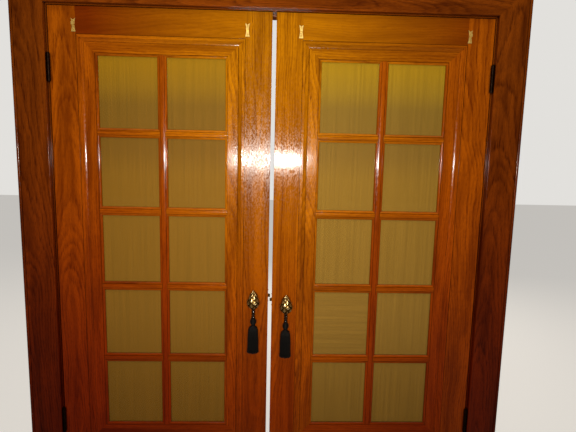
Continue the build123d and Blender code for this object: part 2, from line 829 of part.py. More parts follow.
def latch_faceplate(side):
    """Plate let into the leaf's edge over the latch, with a window for the bolt."""
    z = lock_z(side)
    with BuildPart() as plate:
        slab(
            (FREE_X, MID_Y - FACEPLATE_WIDTH / 2, z - FACEPLATE_HEIGHT / 2),
            (CASE_FRONT, MID_Y + FACEPLATE_WIDTH / 2, z + FACEPLATE_HEIGHT / 2),
        )
        bolt_window(FREE_X, CASE_FRONT, z)
        for height in faceplate_screw_heights(z):
            hole = TRIM_SCREW_RADIUS + SCREW_CLEAR
            rod((FREE_X, MID_Y, height), hole, FACEPLATE_THICK, (1, 0, 0), Mode.SUBTRACT)
        handed(side)
    return plate


def latch_bolt(side):
    """Bevelled bolt, with the tail and lug that the cam's finger draws back."""
    z = lock_z(side)
    tip = FREE_X - BOLT_PROUD
    heel = CASE_FRONT + GUIDE_THICK + BOLT_BODY
    lug = LOCK_X + CAM_FINGER_THICK / 2 + BOLT_CLEAR
    tail_low = z + CAM_RADIUS + 2 * BOLT_CLEAR
    tail_top = tail_low + TAIL_HEIGHT
    tail_front = MID_Y + CAM_FINGER_THICK / 2 + BOLT_CLEAR
    tail_back = tail_front + TAIL_THICK
    with BuildPart() as bolt:
        slab(
            (tip, MID_Y - BOLT_THICK / 2, z - BOLT_HEIGHT / 2),
            (heel, MID_Y + BOLT_THICK / 2, z + BOLT_HEIGHT / 2),
        )
        bevelled = bolt.edges().filter_by(Axis.Z).group_by(Axis.X)[0].sort_by(Axis.Y)[-1]
        chamfer(bevelled, BOLT_PROUD - BOLT_CLEAR)
        slab((heel - BOLT_BODY / 2, tail_front, z), (heel, tail_back, tail_top))
        slab((heel - BOLT_BODY / 2, tail_front, tail_low), (lug + TAIL_HEIGHT, tail_back, tail_top))
        slab((lug, MID_Y - CAM_FINGER_THICK / 2, tail_low), (lug + TAIL_HEIGHT, tail_back, tail_top))
        handed(side)
    return bolt


def spindle(side):
    """Square bar through both knobs, and the cam that it turns inside the latch."""
    z = lock_z(side)
    half = SPINDLE / 2
    reach = LEAF_THICK / 2 + SOCKET_DEPTH
    cam_half = CASE_RADIUS - CASE_WALL - BOLT_CLEAR
    with BuildPart() as pair:
        rod((LOCK_X, MID_Y - cam_half, z), CAM_RADIUS, 2 * cam_half, (0, 1, 0))
        slab(
            (LOCK_X - CAM_FINGER_THICK / 2, MID_Y - CAM_FINGER_THICK / 2, z),
            (LOCK_X + CAM_FINGER_THICK / 2, MID_Y + CAM_FINGER_THICK / 2, z + CAM_FINGER),
        )
        slab(
            (LOCK_X - half - SPINDLE_CLEAR, MID_Y - cam_half, z - half - SPINDLE_CLEAR),
            (LOCK_X + half + SPINDLE_CLEAR, MID_Y + cam_half, z + half + SPINDLE_CLEAR),
            mode=Mode.SUBTRACT,
        )
        slab((LOCK_X - half, MID_Y - reach, z - half), (LOCK_X + half, MID_Y + reach, z + half))
        handed(side)
    return pair


def knob_head():
    """Pointed oval head about the origin, narrow at its tip and full below its middle."""
    half = KNOB_WIDTH / 2
    top = KNOB_HEIGHT / 2
    with BuildPart() as head:
        with BuildSketch(Plane.XZ):
            with BuildLine():
                ThreePointArc((0, top), (half * 0.62, top * 0.42), (half, KNOB_WIDEST))
                ThreePointArc((half, KNOB_WIDEST), (half * 0.87, -top * 0.66), (KNOB_FOOT, -top * 0.95))
                Polyline((KNOB_FOOT, -top * 0.95), (0, -top), (0, top))
            make_face()
        revolve(axis=Axis.Z)
        scale(by=(1, KNOB_THICK / KNOB_WIDTH, 1))
    return head.part


def knobs(side):
    """Front and back knob of one leaf, each with its shank and square socket."""
    z = lock_z(side)
    half = SPINDLE / 2 + SPINDLE_CLEAR
    with BuildPart() as pair:
        for face, out in ((FACE_Y, -1), (BACK_Y, 1)):
            with Locations((LOCK_X, face + out * (KNOB_REACH - KNOB_THICK / 2), z)):
                add(knob_head())
            shank = KNOB_BACK + KNOB_THICK / 4
            rod((LOCK_X, face + out * SHANK_CLEAR, z), SHANK_RADIUS, shank, (0, out, 0))
            ends = sorted((face, face + out * (SOCKET_DEPTH + SPINDLE_CLEAR)))
            slab(
                (LOCK_X - half, ends[0], z - half),
                (LOCK_X + half, ends[1], z + half),
                mode=Mode.SUBTRACT,
            )
        handed(side)
    return pair


def roses(side):
    """Round plates behind the two knobs, with a running hole for the shank."""
    z = lock_z(side)
    with BuildPart() as plates:
        for face, out in ((FACE_Y, -1), (BACK_Y, 1)):
            rod((LOCK_X, face, z), ROSE_RADIUS, ROSE_THICK, (0, out, 0))
        outer = [rim for rim in plates.edges().filter_by(GeomType.CIRCLE) if is_rose_rim(rim)]
        fillet(outer, ROSE_EDGE)
        rod(
            (LOCK_X, FACE_Y - ROSE_THICK, z),
            SHANK_RADIUS + SHANK_CLEAR,
            LEAF_THICK + 2 * ROSE_THICK,
            (0, 1, 0),
            Mode.SUBTRACT,
        )
        for start, along in rose_screws(z):
            rod(start, TRIM_SCREW_RADIUS + SCREW_CLEAR, ROSE_THICK, along, Mode.SUBTRACT)
        handed(side)
    return plates


def is_rose_rim(rim):
    """True for the outer edges of the front and back rose, away from the leaf."""
    y = rim.center().Y
    return y < FACE_Y - ROSE_THICK / 2 or y > BACK_Y + ROSE_THICK / 2


# Trim screws and rod brackets


def faceplate_screw_heights(z):
    """Heights of the two screws that hold the latch's faceplate."""
    reach = (BOLT_HEIGHT / 2 + CASE_RADIUS + FACEPLATE_HEIGHT / 2) / 2
    return [z - reach, z + reach]


def rose_screws(z):
    """Start and direction of each rose screw, on the rose's face."""
    reach = (SHANK_RADIUS + ROSE_RADIUS) / 2
    return [
        ((LOCK_X, face - along * ROSE_THICK, z + step * reach), (0, along, 0))
        for face, along in ((FACE_Y, 1), (BACK_Y, -1))
        for step in (-1, 1)
    ]


def bracket_places():
    """Middle of each rod bracket of one leaf, on its front face."""
    return [(x, TOP_Z - BRACKET_DROP) for x in (FREE_X + BRACKET_EDGE, HINGE_X - BRACKET_EDGE)]


def bracket_screw_holes():
    """X, z and depth in the wood of each bracket screw."""
    return [
        (x, z + step * BRACKET_SCREW_PITCH, TRIM_SCREW_LENGTH - BRACKET_THICK)
        for x, z in bracket_places()
        for step in (-1, 1)
    ]


def lock_screw_holes(z):
    """Start, direction and depth in the wood of each rose and faceplate screw."""
    holes = [
        ((LOCK_X, start[1] + along[1] * ROSE_THICK, start[2]), along, TRIM_SCREW_LENGTH - ROSE_THICK)
        for start, along in rose_screws(z)
    ]
    for height in faceplate_screw_heights(z):
        holes.append(((CASE_FRONT, MID_Y, height), (1, 0, 0), TRIM_SCREW_LENGTH - FACEPLATE_THICK))
    return holes


def trim_screw_hole(start, along, length):
    """Pilot hole in the wood, just wider than the screw."""
    rod(start, TRIM_SCREW_RADIUS + SCREW_CLEAR, length + SCREW_CLEAR, along, Mode.SUBTRACT)


def round_head_screw():
    """Small wood screw with a low round head that stands on the origin's plane."""
    rise = TRIM_SCREW_HEAD_HEIGHT
    with BuildPart() as screw:
        with BuildSketch(Plane.XZ):
            with BuildLine():
                Line((0, -TRIM_SCREW_LENGTH), (0, rise))
                ThreePointArc((0, rise), (TRIM_SCREW_HEAD * 0.7, rise * 0.72), (TRIM_SCREW_HEAD, 0))
                Polyline(
                    (TRIM_SCREW_HEAD, 0),
                    (TRIM_SCREW_RADIUS, 0),
                    (TRIM_SCREW_RADIUS, 3 * TRIM_SCREW_RADIUS - TRIM_SCREW_LENGTH),
                    (0, -TRIM_SCREW_LENGTH),
                )
            make_face()
        revolve(axis=Axis.Z)
    return screw.part


def trim_screws(side):
    """Small screws of one leaf: rod brackets, roses and faceplate."""
    z = lock_z(side)
    seats = rose_screws(z)
    seats += [((FREE_X, MID_Y, height), (1, 0, 0)) for height in faceplate_screw_heights(z)]
    front = FACE_Y - BRACKET_THICK
    seats += [((x, front, height), (0, 1, 0)) for x, height, _ in bracket_screw_holes()]
    with BuildPart() as screws:
        one = round_head_screw()
        for start, along in seats:
            with Locations(Plane(origin=start, z_dir=Vector(*along) * -1)):
                add(one)
        handed(side)
    return screws


def rod_brackets(side):
    """Brass brackets: a waisted plate, notched at its top, with a hook for a thin rod."""
    half = BRACKET_WIDTH / 2
    waist = BRACKET_WAIST / 2
    tall = BRACKET_HEIGHT / 2
    with BuildPart() as brackets:
        for x, z in bracket_places():
            with BuildSketch(Plane(origin=(x, FACE_Y, z), x_dir=(1, 0, 0), z_dir=(0, -1, 0))):
                with BuildLine():
                    Polyline((-half, tall), (0, tall - BRACKET_NOTCH), (half, tall))
                    ThreePointArc((half, tall), (waist, 0), (half, -tall))
                    Line((half, -tall), (-half, -tall))
                    ThreePointArc((-half, -tall), (-waist, 0), (-half, tall))
                make_face()
            extrude(amount=BRACKET_THICK)
            front = FACE_Y - BRACKET_THICK
            prong = front - BRACKET_ROD
            slab((x - waist, prong - BRACKET_THICK, z - BRACKET_THICK), (x + waist, front, z))
            slab((x - waist, prong - BRACKET_THICK, z), (x + waist, prong, z + BRACKET_PRONG))
        hole = TRIM_SCREW_RADIUS + SCREW_CLEAR
        for x, z, _ in bracket_screw_holes():
            rod((x, FACE_Y, z), hole, BRACKET_THICK, (0, -1, 0), Mode.SUBTRACT)
        handed(side)
    return brackets


# Tassels


def tassel_plane():
    """Upright plane through the tassel's middle, facing front."""
    return Plane(origin=(LOCK_X, FACE_Y - TASSEL_REACH, 0), x_dir=(1, 0, 0), z_dir=(0, -1, 0))


def tassel_axis():
    """The upright line that the tassel's pieces are turned about."""
    return Axis((LOCK_X, FACE_Y - TASSEL_REACH, 0), (0, 0, 1))


def tassel_cord(side):
    """Loop of thin cord over the knob's shank, down to the top bead."""
    z = lock_z(side)
    y = FACE_Y - TASSEL_REACH
    wrap = SHANK_RADIUS + TASSEL_CORD_RADIUS + TASSEL_CORD_CLEAR
    foot = z - TASSEL_TOP + TASSEL_CORD_RADIUS / 2
    start = (LOCK_X - TASSEL_CORD_RADIUS - SHANK_CLEAR, y, foot)
    end = (LOCK_X + TASSEL_CORD_RADIUS + SHANK_CLEAR, y, foot)
    route = [
        start,
        (LOCK_X - wrap, y, z - wrap),
        (LOCK_X - wrap, y, z + wrap),
        (LOCK_X + wrap, y, z + wrap),
        (LOCK_X + wrap, y, z - wrap),
        end,
    ]
    with BuildPart() as cord:
        with BuildLine() as path:
            FilletPolyline(*route, radius=[6 * wrap, wrap * 0.98, wrap * 0.98, 6 * wrap])
        with BuildSketch(Plane(origin=start, z_dir=path.line % 0)):
            Circle(TASSEL_CORD_RADIUS)
        sweep(path=path.line)
        handed(side)
    return cord


def tassel_beads(side):
    """Turned beads strung between the loop and the knot."""
    top = lock_z(side) - TASSEL_TOP
    belly = TASSEL_BEAD_RADIUS
    neck = TASSEL_WAIST_RADIUS / 2
    with BuildPart() as beads:
        for step in range(TASSEL_BEADS):
            high = top - step * TASSEL_BEAD_HEIGHT
            low = high - TASSEL_BEAD_HEIGHT + TASSEL_BEAD_GAP
            with BuildSketch(tassel_plane()):
                with BuildLine():
                    Line((0, low), (0, high))
                    Line((0, high), (neck, high))
                    ThreePointArc((neck, high), (belly, (low + high) / 2), (neck, low))
                    Line((neck, low), (0, low))
                make_face()
            revolve(axis=tassel_axis())
        handed(side)
    return beads


def tassel_profile(points, side):
    """A soft turned piece under the knob, from the points of its half outline."""
    with BuildPart() as piece:
        with BuildSketch(tassel_plane()):
            with BuildLine():
                Line((0, points[0][1]), points[0])
                Spline(*points)
                Line(points[-1], (0, points[-1][1]))
                Line((0, points[-1][1]), (0, points[0][1]))
            make_face()
        revolve(axis=tassel_axis())
        handed(side)
    return piece


def knot_top(side):
    """Height of the top of the tassel's knot."""
    return lock_z(side) - TASSEL_TOP - TASSEL_BEADS * TASSEL_BEAD_HEIGHT


def tassel_knot(side):
    """Bound knot above the skirt."""
    top = knot_top(side)
    low = top - TASSEL_KNOT_HEIGHT
    points = [
        (TASSEL_WAIST_RADIUS, top),
        (TASSEL_KNOT_RADIUS, top - TASSEL_KNOT_HEIGHT * 0.38),
        (TASSEL_KNOT_RADIUS * 0.95, top - TASSEL_KNOT_HEIGHT * 0.68),
        (TASSEL_WAIST_RADIUS, low),
    ]
    return tassel_profile(points, side)


def tassel_skirt(side):
    """Skirt of hanging threads, full at the shoulder and flared at the hem."""
    top = knot_top(side) - TASSEL_KNOT_HEIGHT
    low = top - TASSEL_SKIRT_HEIGHT
    points = [
        (TASSEL_WAIST_RADIUS, top),
        (TASSEL_WAIST_RADIUS + 1.0, top - TASSEL_WAIST),
        (TASSEL_SHOULDER_RADIUS, top - 4 * TASSEL_WAIST),
        (TASSEL_SKIRT_RADIUS, (top + low) / 2),
        (TASSEL_SKIRT_RADIUS, low + 2 * TASSEL_HEM),
        (TASSEL_HEM_RADIUS, low + TASSEL_HEM / 2),
        (TASSEL_HEM_RADIUS - 1.5, low),
    ]
    return tassel_profile(points, side)


# Write the frame's pieces, then each leaf's

keep(side_jamb(-1), "left_jamb")
keep(side_jamb(1), "right_jamb")
keep(head_jamb(), "head_jamb")
keep(door_stops(), "door_stops")
keep(side_casings(-1), "left_casings")
keep(side_casings(1), "right_casings")
keep(head_casings(), "head_casings")
keep(jamb_hinge_plates(), "jamb_hinge_plates")
keep(hinge_pins(), "hinge_pins")
keep(jamb_hinge_screws(), "jamb_hinge_screws")

for side, word in ((-1, "left"), (1, "right")):
    bottom_tenon, top_tenon = tenon_spans()
    keep(hinge_stile(side), f"{word}_hinge_stile")
    keep(lock_stile(side), f"{word}_lock_stile")
    keep(rail(FOOT_Z, PANEL_BOTTOM, bottom_tenon, PANEL_BOTTOM, side), f"{word}_bottom_rail")
    keep(rail(PANEL_TOP, TOP_Z, top_tenon, PANEL_TOP, side), f"{word}_top_rail")
    keep(moulding_uprights(side), f"{word}_moulding_uprights")
    keep(moulding_rails(side), f"{word}_moulding_rails")
    keep(upright_bar(side), f"{word}_upright_bar")
    keep(cross_bars(side), f"{word}_cross_bars")
    keep(panes(side), f"{word}_panes")
    keep(privacy_film(side), f"{word}_privacy_film")
    keep(glazing_beads(side), f"{word}_glazing_beads")
    keep(leaf_hinge_plates(side), f"{word}_hinge_plates")
    keep(hinge_screws(HINGE_X, -1, side), f"{word}_hinge_screws")
    keep(rod_brackets(side), f"{word}_rod_brackets")
    keep(trim_screws(side), f"{word}_trim_screws")
    keep(latch_case(side), f"{word}_latch_case")
    keep(latch_faceplate(side), f"{word}_latch_faceplate")
    keep(latch_bolt(side), f"{word}_latch_bolt")
    keep(roses(side), f"{word}_roses")
    keep(knobs(side), f"{word}_knobs")
    keep(spindle(side), f"{word}_spindle")
    keep(tassel_cord(side), f"{word}_tassel_cord")
    keep(tassel_beads(side), f"{word}_tassel_beads")
    keep(tassel_knot(side), f"{word}_tassel_knot")
    keep(tassel_skirt(side), f"{word}_tassel_skirt")
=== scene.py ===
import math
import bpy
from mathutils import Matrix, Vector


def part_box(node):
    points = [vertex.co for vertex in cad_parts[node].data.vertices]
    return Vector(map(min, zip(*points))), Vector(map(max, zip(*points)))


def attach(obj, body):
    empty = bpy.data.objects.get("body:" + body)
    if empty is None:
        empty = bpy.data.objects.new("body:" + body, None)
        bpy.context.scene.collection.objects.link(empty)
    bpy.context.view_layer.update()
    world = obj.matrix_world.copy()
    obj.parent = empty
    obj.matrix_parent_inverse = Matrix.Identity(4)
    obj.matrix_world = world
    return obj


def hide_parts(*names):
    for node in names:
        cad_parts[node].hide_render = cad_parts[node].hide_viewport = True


bl_info = {
    "name": "Glazed oak doors",
    "version": (1, 0, 0),
    "blender": (4, 5, 0),
    "location": "3D View > Sidebar > Doors",
    "description": "Dresses a pair of glazed oak doors: varnish, film, ironmongery, knobs and tassels",
    "category": "Object",
}

import bpy
from mathutils import Matrix, Vector

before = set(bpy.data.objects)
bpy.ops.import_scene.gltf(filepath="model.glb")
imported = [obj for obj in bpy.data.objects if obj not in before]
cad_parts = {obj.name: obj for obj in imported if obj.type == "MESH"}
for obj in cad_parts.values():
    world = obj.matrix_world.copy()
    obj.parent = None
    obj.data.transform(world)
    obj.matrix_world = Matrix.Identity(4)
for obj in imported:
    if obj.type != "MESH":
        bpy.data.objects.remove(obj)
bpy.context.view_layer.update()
SIDES = ("left", "right")
MM = 0.001

# Painted shade: the oak's colour low down, darker and redder, as shares of that at the top,
# and the heights in metres between which it changes
SHADED_FOOT = (0.76, 0.28, 0.22)
FOOT_HEIGHT = 0.3
TOP_HEIGHT = 2.0

# Painted light, shade and reflection of the room in the panes, by height in metres, as shares of
# their own colour: a painted reflection of a yellow ceiling in the top panes, a painted shadow band
# under it, and greyer walls in painted shade lower down.
PAINTED_ROOM_LIGHT = [
    (0.45, (1.00, 1.00, 1.20)),
    (0.80, (1.08, 1.12, 1.50)),
    (1.25, (1.00, 1.03, 1.10)),
    (1.40, (0.97, 1.00, 1.06)),
    (1.50, (0.80, 0.82, 1.00)),
    (1.68, (0.79, 0.85, 0.89)),
    (1.75, (1.04, 1.14, 0.63)),
    (1.83, (1.20, 1.31, 0.34)),
]

# Panes of a leaf, the one whose film was stuck on sideways, and the depth of the film's ribs
ROWS = 5
COLUMNS = 2
SIDEWAYS = ("right", 3, 0)
RIB_DEPTH = 0.26 * MM

# Knob: height of its widest place over its middle, half width of its foot, cast leaves round it
# and rows of them, and how proud the shank's collar stands
KNOB_WIDEST = -9 * MM
KNOB_FOOT = 12 * MM
KNOB_LEAVES = 5
KNOB_LEAF_ROWS = 3.5
COLLAR = 1.2 * MM

# Tassel: turns of thread round its knot, how many bunches fewer its inner layer has, and the
# skirt's half outline from the top down, as shares of its height and of its hem
KNOT_TURNS = 9
FEWER_INSIDE = 12
SKIRT_OUTLINE = [(0.0, 0.24), (0.03, 0.3), (0.1, 0.68), (0.2, 0.8), (0.5, 0.88), (0.84, 0.9), (1.0, 0.98)]

# Stage: half width of the floor, and the pale colour that the camera sees below and behind
FLOOR_REACH = 12.0
GROUND = "#e2e0dc"

# Lamps: a wide low one just behind the camera and under it, a warm soft one overhead, and one
# at the back. Name, place, target, width and height, spread in degrees, watts, colour.
LAMPS = [
    ("front", (-0.03, -2.1, 1.42), (0.0, 0.0, 1.64), (0.56, 0.1), 96, 12.0, "#fff6ea"),
    ("top", (0.0, -1.6, 3.7), (0.0, 0.0, 1.8), (3.6, 1.8), 180, 25.0, "#fff0d2"),
    ("back", (0.6, 3.2, 2.6), (0.0, 0.0, 1.3), (2.0, 1.4), 180, 55.0, "#fff6ea"),
]

# Camera, fitted to the photograph: place in metres, yaw, pitch down and roll in degrees, and
# lens and sensor in millimetres
CAMERA_PLACE = (0.001, -2.003, 1.521)
CAMERA_TURN = (1.99, 8.08, 1.29)
CAMERA_LENS = 30.0
CAMERA_SENSOR = 36.0

# Colour sockets of Blender's mix node, by number: inputs A and B, and the mixed output
COLOUR_A = 6
COLOUR_B = 7
MIXED = 2


# Colour and node helpers


def linear(code):
    """An sRGB hex colour as the linear values that Blender's sockets take."""
    values = [int(code[i : i + 2], 16) / 255 for i in (1, 3, 5)]
    return [v / 12.92 if v <= 0.04045 else ((v + 0.055) / 1.055) ** 2.4 for v in values]


def rgba(colour):
    """A three-value colour with full alpha."""
    return (colour[0], colour[1], colour[2], 1.0)


def dimmed(colour, share):
    """A colour made darker, or brighter where the share is over 1."""
    return [value * share for value in colour]


def add_node(tree, kind, inputs=None, **settings):
    """Adds a shader node with its settings, and gives its inputs values or other nodes' outputs."""
    node = tree.nodes.new(kind)
    for key, value in settings.items():
        setattr(node, key, value)
    for socket, value in (inputs or {}).items():
        if isinstance(value, bpy.types.NodeSocket):
            tree.links.new(value, node.inputs[socket])
        else:
            node.inputs[socket].default_value = value
    return node


def new_material(name):
    """An empty node material and its tree."""
    material = bpy.data.materials.new(name)
    material.use_nodes = True
    material.node_tree.nodes.clear()
    return material, material.node_tree


def set_ramp(node, stops):
    """Fills a colour ramp with its stops: (position, three-value colour)."""
    elements = node.color_ramp.elements
    while len(elements) > 1:
        elements.remove(elements[-1])
    elements[0].position = stops[0][0]
    elements[0].color = rgba(stops[0][1])
    for position, colour in stops[1:]:
        elements.new(position).color = rgba(colour)


# Sizes and colours that a user would change


class DoorSizes(bpy.types.PropertyGroup):
    """Sizes of the oak's figure, the film, the knobs and the tassels"""

    ring_width: bpy.props.FloatProperty(
        name="Growth ring",
        description="Width of one growth ring of the oak, wider than the real 3 mm so that it shows",
        default=9 * MM,
        unit="LENGTH",
    )
    pore_width: bpy.props.FloatProperty(
        name="Pore",
        description="Width of a cluster of open pores, wider than the real 0.3 mm so that it shows",
        default=2.0 * MM,
        unit="LENGTH",
    )
    prick_width: bpy.props.FloatProperty(
        name="Fine pore",
        description="Width of a single pore, which shows from close by",
        default=0.5 * MM,
        unit="LENGTH",
    )
    rib_pitch: bpy.props.FloatProperty(
        name="Film rib pitch",
        description="Distance between the ribs of the privacy film",
        default=3.0 * MM,
        unit="LENGTH",
    )
    film_width: bpy.props.FloatProperty(
        name="Film width", description="Width of one sheet of film", default=228 * MM, unit="LENGTH"
    )
    film_height: bpy.props.FloatProperty(
        name="Film height", description="Height of one sheet of film", default=275 * MM, unit="LENGTH"
    )
    film_lap: bpy.props.FloatProperty(
        name="Film lap",
        description="How far a sheet of film runs on beyond its plain solid, to the edge of the beads",
        default=1.4 * MM,
        unit="LENGTH",
    )
    knob_height: bpy.props.FloatProperty(
        name="Knob height",
        description="Height of a knob's pointed head",
        default=80 * MM,
        unit="LENGTH",
    )
    knob_width: bpy.props.FloatProperty(
        name="Knob width", description="Width of a knob's head", default=55 * MM, unit="LENGTH"
    )
    knob_thickness: bpy.props.FloatProperty(
        name="Knob thickness",
        description="Depth of a knob's head, front to back",
        default=32 * MM,
        unit="LENGTH",
    )
    knob_relief: bpy.props.FloatProperty(
        name="Knob relief",
        description="Depth of the cast leaves on the knob",
        default=4.2 * MM,
        unit="LENGTH",
    )
    shank_radius: bpy.props.FloatProperty(
        name="Shank radius", description="Radius of a knob's shank", default=8 * MM, unit="LENGTH"
    )
    strand_radius: bpy.props.FloatProperty(
        name="Strand radius",
        description="Half the width of one bunch of tassel threads, thicker than a thread so that it shows",
        default=1.1 * MM,
        unit="LENGTH",
    )
    strands: bpy.props.IntProperty(
        name="Strands", description="Bunches of thread in a tassel's outer layer", default=64
    )


class DoorColours(bpy.types.PropertyGroup):
    """Colours of the wood, the film, the metals and the thread"""

    honey_light: bpy.props.FloatVectorProperty(
        name="Honey oak, light",
        description="Late wood of the paler boards",
        subtype="COLOR",
        default=linear("#cd8206"),
    )
    honey_dark: bpy.props.FloatVectorProperty(
        name="Honey oak, dark",
        description="Early wood of the paler boards",
        subtype="COLOR",
        default=linear("#703802"),
    )
    amber_light: bpy.props.FloatVectorProperty(
        name="Amber oak, light",
        description="Late wood of the darker boards",
        subtype="COLOR",
        default=linear("#b65c06"),
    )
    amber_dark: bpy.props.FloatVectorProperty(
        name="Amber oak, dark",
        description="Early wood of the darker boards",
        subtype="COLOR",
        default=linear("#682702"),
    )
    russet_light: bpy.props.FloatVectorProperty(
        name="Russet oak, light",
        description="Late wood of a top rail's outer end",
        subtype="COLOR",
        default=linear("#8f3803"),
    )
    russet_dark: bpy.props.FloatVectorProperty(
        name="Russet oak, dark",
        description="Early wood of a top rail's outer end",
        subtype="COLOR",
        default=linear("#4e1701"),
    )
    umber_light: bpy.props.FloatVectorProperty(
        name="Umber oak, light",
        description="Late wood of the frame's boards",
        subtype="COLOR",
        default=linear("#8c430a"),
    )
    umber_dark: bpy.props.FloatVectorProperty(
        name="Umber oak, dark",
        description="Early wood of the frame's boards",
        subtype="COLOR",
        default=linear("#421503"),
    )
    film: bpy.props.FloatVectorProperty(
        name="Film",
        description="Ribbed privacy film of the left leaf",
        subtype="COLOR",
        default=linear("#b0812c"),
    )
    # Paler than the left leaf's film: a painted veil of reflected light on the right leaf's glass
    film_pale_painted_veil: bpy.props.FloatVectorProperty(
        name="Film, pale",
        description="Ribbed privacy film of the right leaf",
        subtype="COLOR",
        default=linear("#cbab4e"),
    )
    bronze: bpy.props.FloatVectorProperty(
        name="Dark bronze",
        description="Oil-rubbed bronze of the hinges",
        subtype="COLOR",
        default=linear("#2e211a"),
    )
    brass: bpy.props.FloatVectorProperty(
        name="Brass",
        description="Satin brass of the brackets",
        subtype="COLOR",
        default=linear("#efd27c"),
    )
    thread: bpy.props.FloatVectorProperty(
        name="Thread",
        description="Black rayon of the tassels",
        subtype="COLOR",
        default=linear("#070605"),
    )


# Oak


def varnished_oak(
    name, along, pith, tones, depth=0.05, tilt=0.04, swing=0.08, turn=None, rough=0.2, shaded_foot=SHADED_FOOT, plain=0.0
):
    """Flat-sawn oak under gloss varnish.

    The eye sees warm orange wood with arched rings, fine dark pores along the grain and a bright
    shine over all of it. Along is the grain's axis. Pith is where the tree's middle lies across
    the board and depth how far behind its face, so a deep pith gives straight grain. Tilt is the
    slope between board and tree, which draws the arches out, and swing is how far they wander.
    Tones are the light and dark colour of the board, then those that it has further out. Turn
    gives where between them the colour changes, as two distances from the doors' middle. Rough
    is the roughness of the varnish where it is rubbed, and the depth of its brush marks in mm.
    Shaded foot is painted shade: the wood's colour low down, darker and redder, as shares of its own. Plain
    is how far its figure is lost, from 0 to 1.
    """
    material, tree = new_material(name)
    place = add_node(tree, "ShaderNodeTexCoord")
    parts = add_node(tree, "ShaderNodeSeparateXYZ", {0: place.outputs["Object"]})
    across, run = ("X", "Z") if along == "Z" else ("Z", "X")
    board = add_node(
        tree,
        "ShaderNodeCombineXYZ",
        {"X": parts.outputs[across], "Y": parts.outputs["Y"], "Z": parts.outputs[run]},
    )
    tree_place = add_node(
        tree,
        "ShaderNodeMapping",
        {"Vector": board.outputs[0], "Location": (-pith, depth, 0.0), "Rotation": (tilt, 0.0, 0.0)},
    )
    bent = wandering(tree, board, tree_place, pith, swing)
    rings = growth_rings(tree, board, bent, pith)
    figure = wood_figure(tree, board, bent, rings, pith)
    wood = board_colour(tree, parts, figure, tones, turn, shaded_foot, plain)
    # Painted shade in the corners
    wood = corner_shade(tree, wood, tones[1])
    gloss_varnish(tree, board, pith, wood, figure, rough)
    return material


def grain_noise(tree, source, shift, stretch, detail, roughness, scale=1.0):
    """Noise drawn out along a board, and shifted so that no two boards look alike."""
    drawn = add_node(
        tree,
        "ShaderNodeMapping",
        {
            "Vector": source.outputs[0],
            "Location": (7.3 * shift, 3.1 * shift, 11.7 * shift),
            "Scale": stretch,
        },
    )
    return add_node(
        tree,
        "ShaderNodeTexNoise",
        {"Vector": drawn.outputs[0], "Scale": scale, "Detail": detail, "Roughness": roughness},
    )


def wandering(tree, board, tree_place, pith, swing):
    """The place in the tree, bent as the tree grew: over 0.3 m across the board and 0.6 m along it."""
    wander = grain_noise(tree, board, pith, (3.5, 3.5, 1.8), 3.0, 0.45)
    return add_node(
        tree,
        "ShaderNodeVectorMath",
        {0: wander.outputs["Color"], 1: (swing, swing, 0.0), 2: tree_place.outputs[0]},
        operation="MULTIPLY_ADD",
    )


def growth_rings(tree, board, bent, pith):
    """The growth rings, from 0 in the late wood to 1 where a ring is darkest."""
    flat = add_node(
        tree, "ShaderNodeVectorMath", {0: bent.outputs[0], 1: (1.0, 1.0, 0.0)}, operation="MULTIPLY"
    )
    radius = add_node(tree, "ShaderNodeVectorMath", {0: flat.outputs[0]}, operation="LENGTH")
    # A ring's edge frays over 7 mm across the grain and 110 mm along it.
    fray = grain_noise(tree, board, pith, (140.0, 140.0, 9.0), 4.0, 0.6)
    per_ring = 1.0 / bpy.context.scene.door_sizes.ring_width
    count = add_node(
        tree,
        "ShaderNodeMath",
        {0: radius.outputs["Value"], 1: per_ring, 2: fray.outputs["Fac"]},
        operation="MULTIPLY_ADD",
    )
    ring = add_node(tree, "ShaderNodeMath", {0: count.outputs[0]}, operation="FRACT")
    dark = add_node(tree, "ShaderNodeValToRGB", {"Fac": ring.outputs[0]})
    stops = [(0.0, 0.5), (0.14, 1.0), (0.34, 0.6), (0.65, 0.12), (0.9, 0.0), (1.0, 0.5)]
    set_ramp(dark, [(position, [value] * 3) for position, value in stops])
    # Some years were dry, and left a weaker ring.
    year = add_node(tree, "ShaderNodeMath", {0: count.outputs[0]}, operation="FLOOR")
    season = add_node(tree, "ShaderNodeTexWhiteNoise", {"W": year.outputs[0]}, noise_dimensions="1D")
    drought = add_node(tree, "ShaderNodeMapRange", {"Value": season.outputs["Value"], "To Min": 0.3})
    return add_node(
        tree, "ShaderNodeMath", {0: dark.outputs["Color"], 1: drought.outputs[0]}, operation="MULTIPLY"
    )


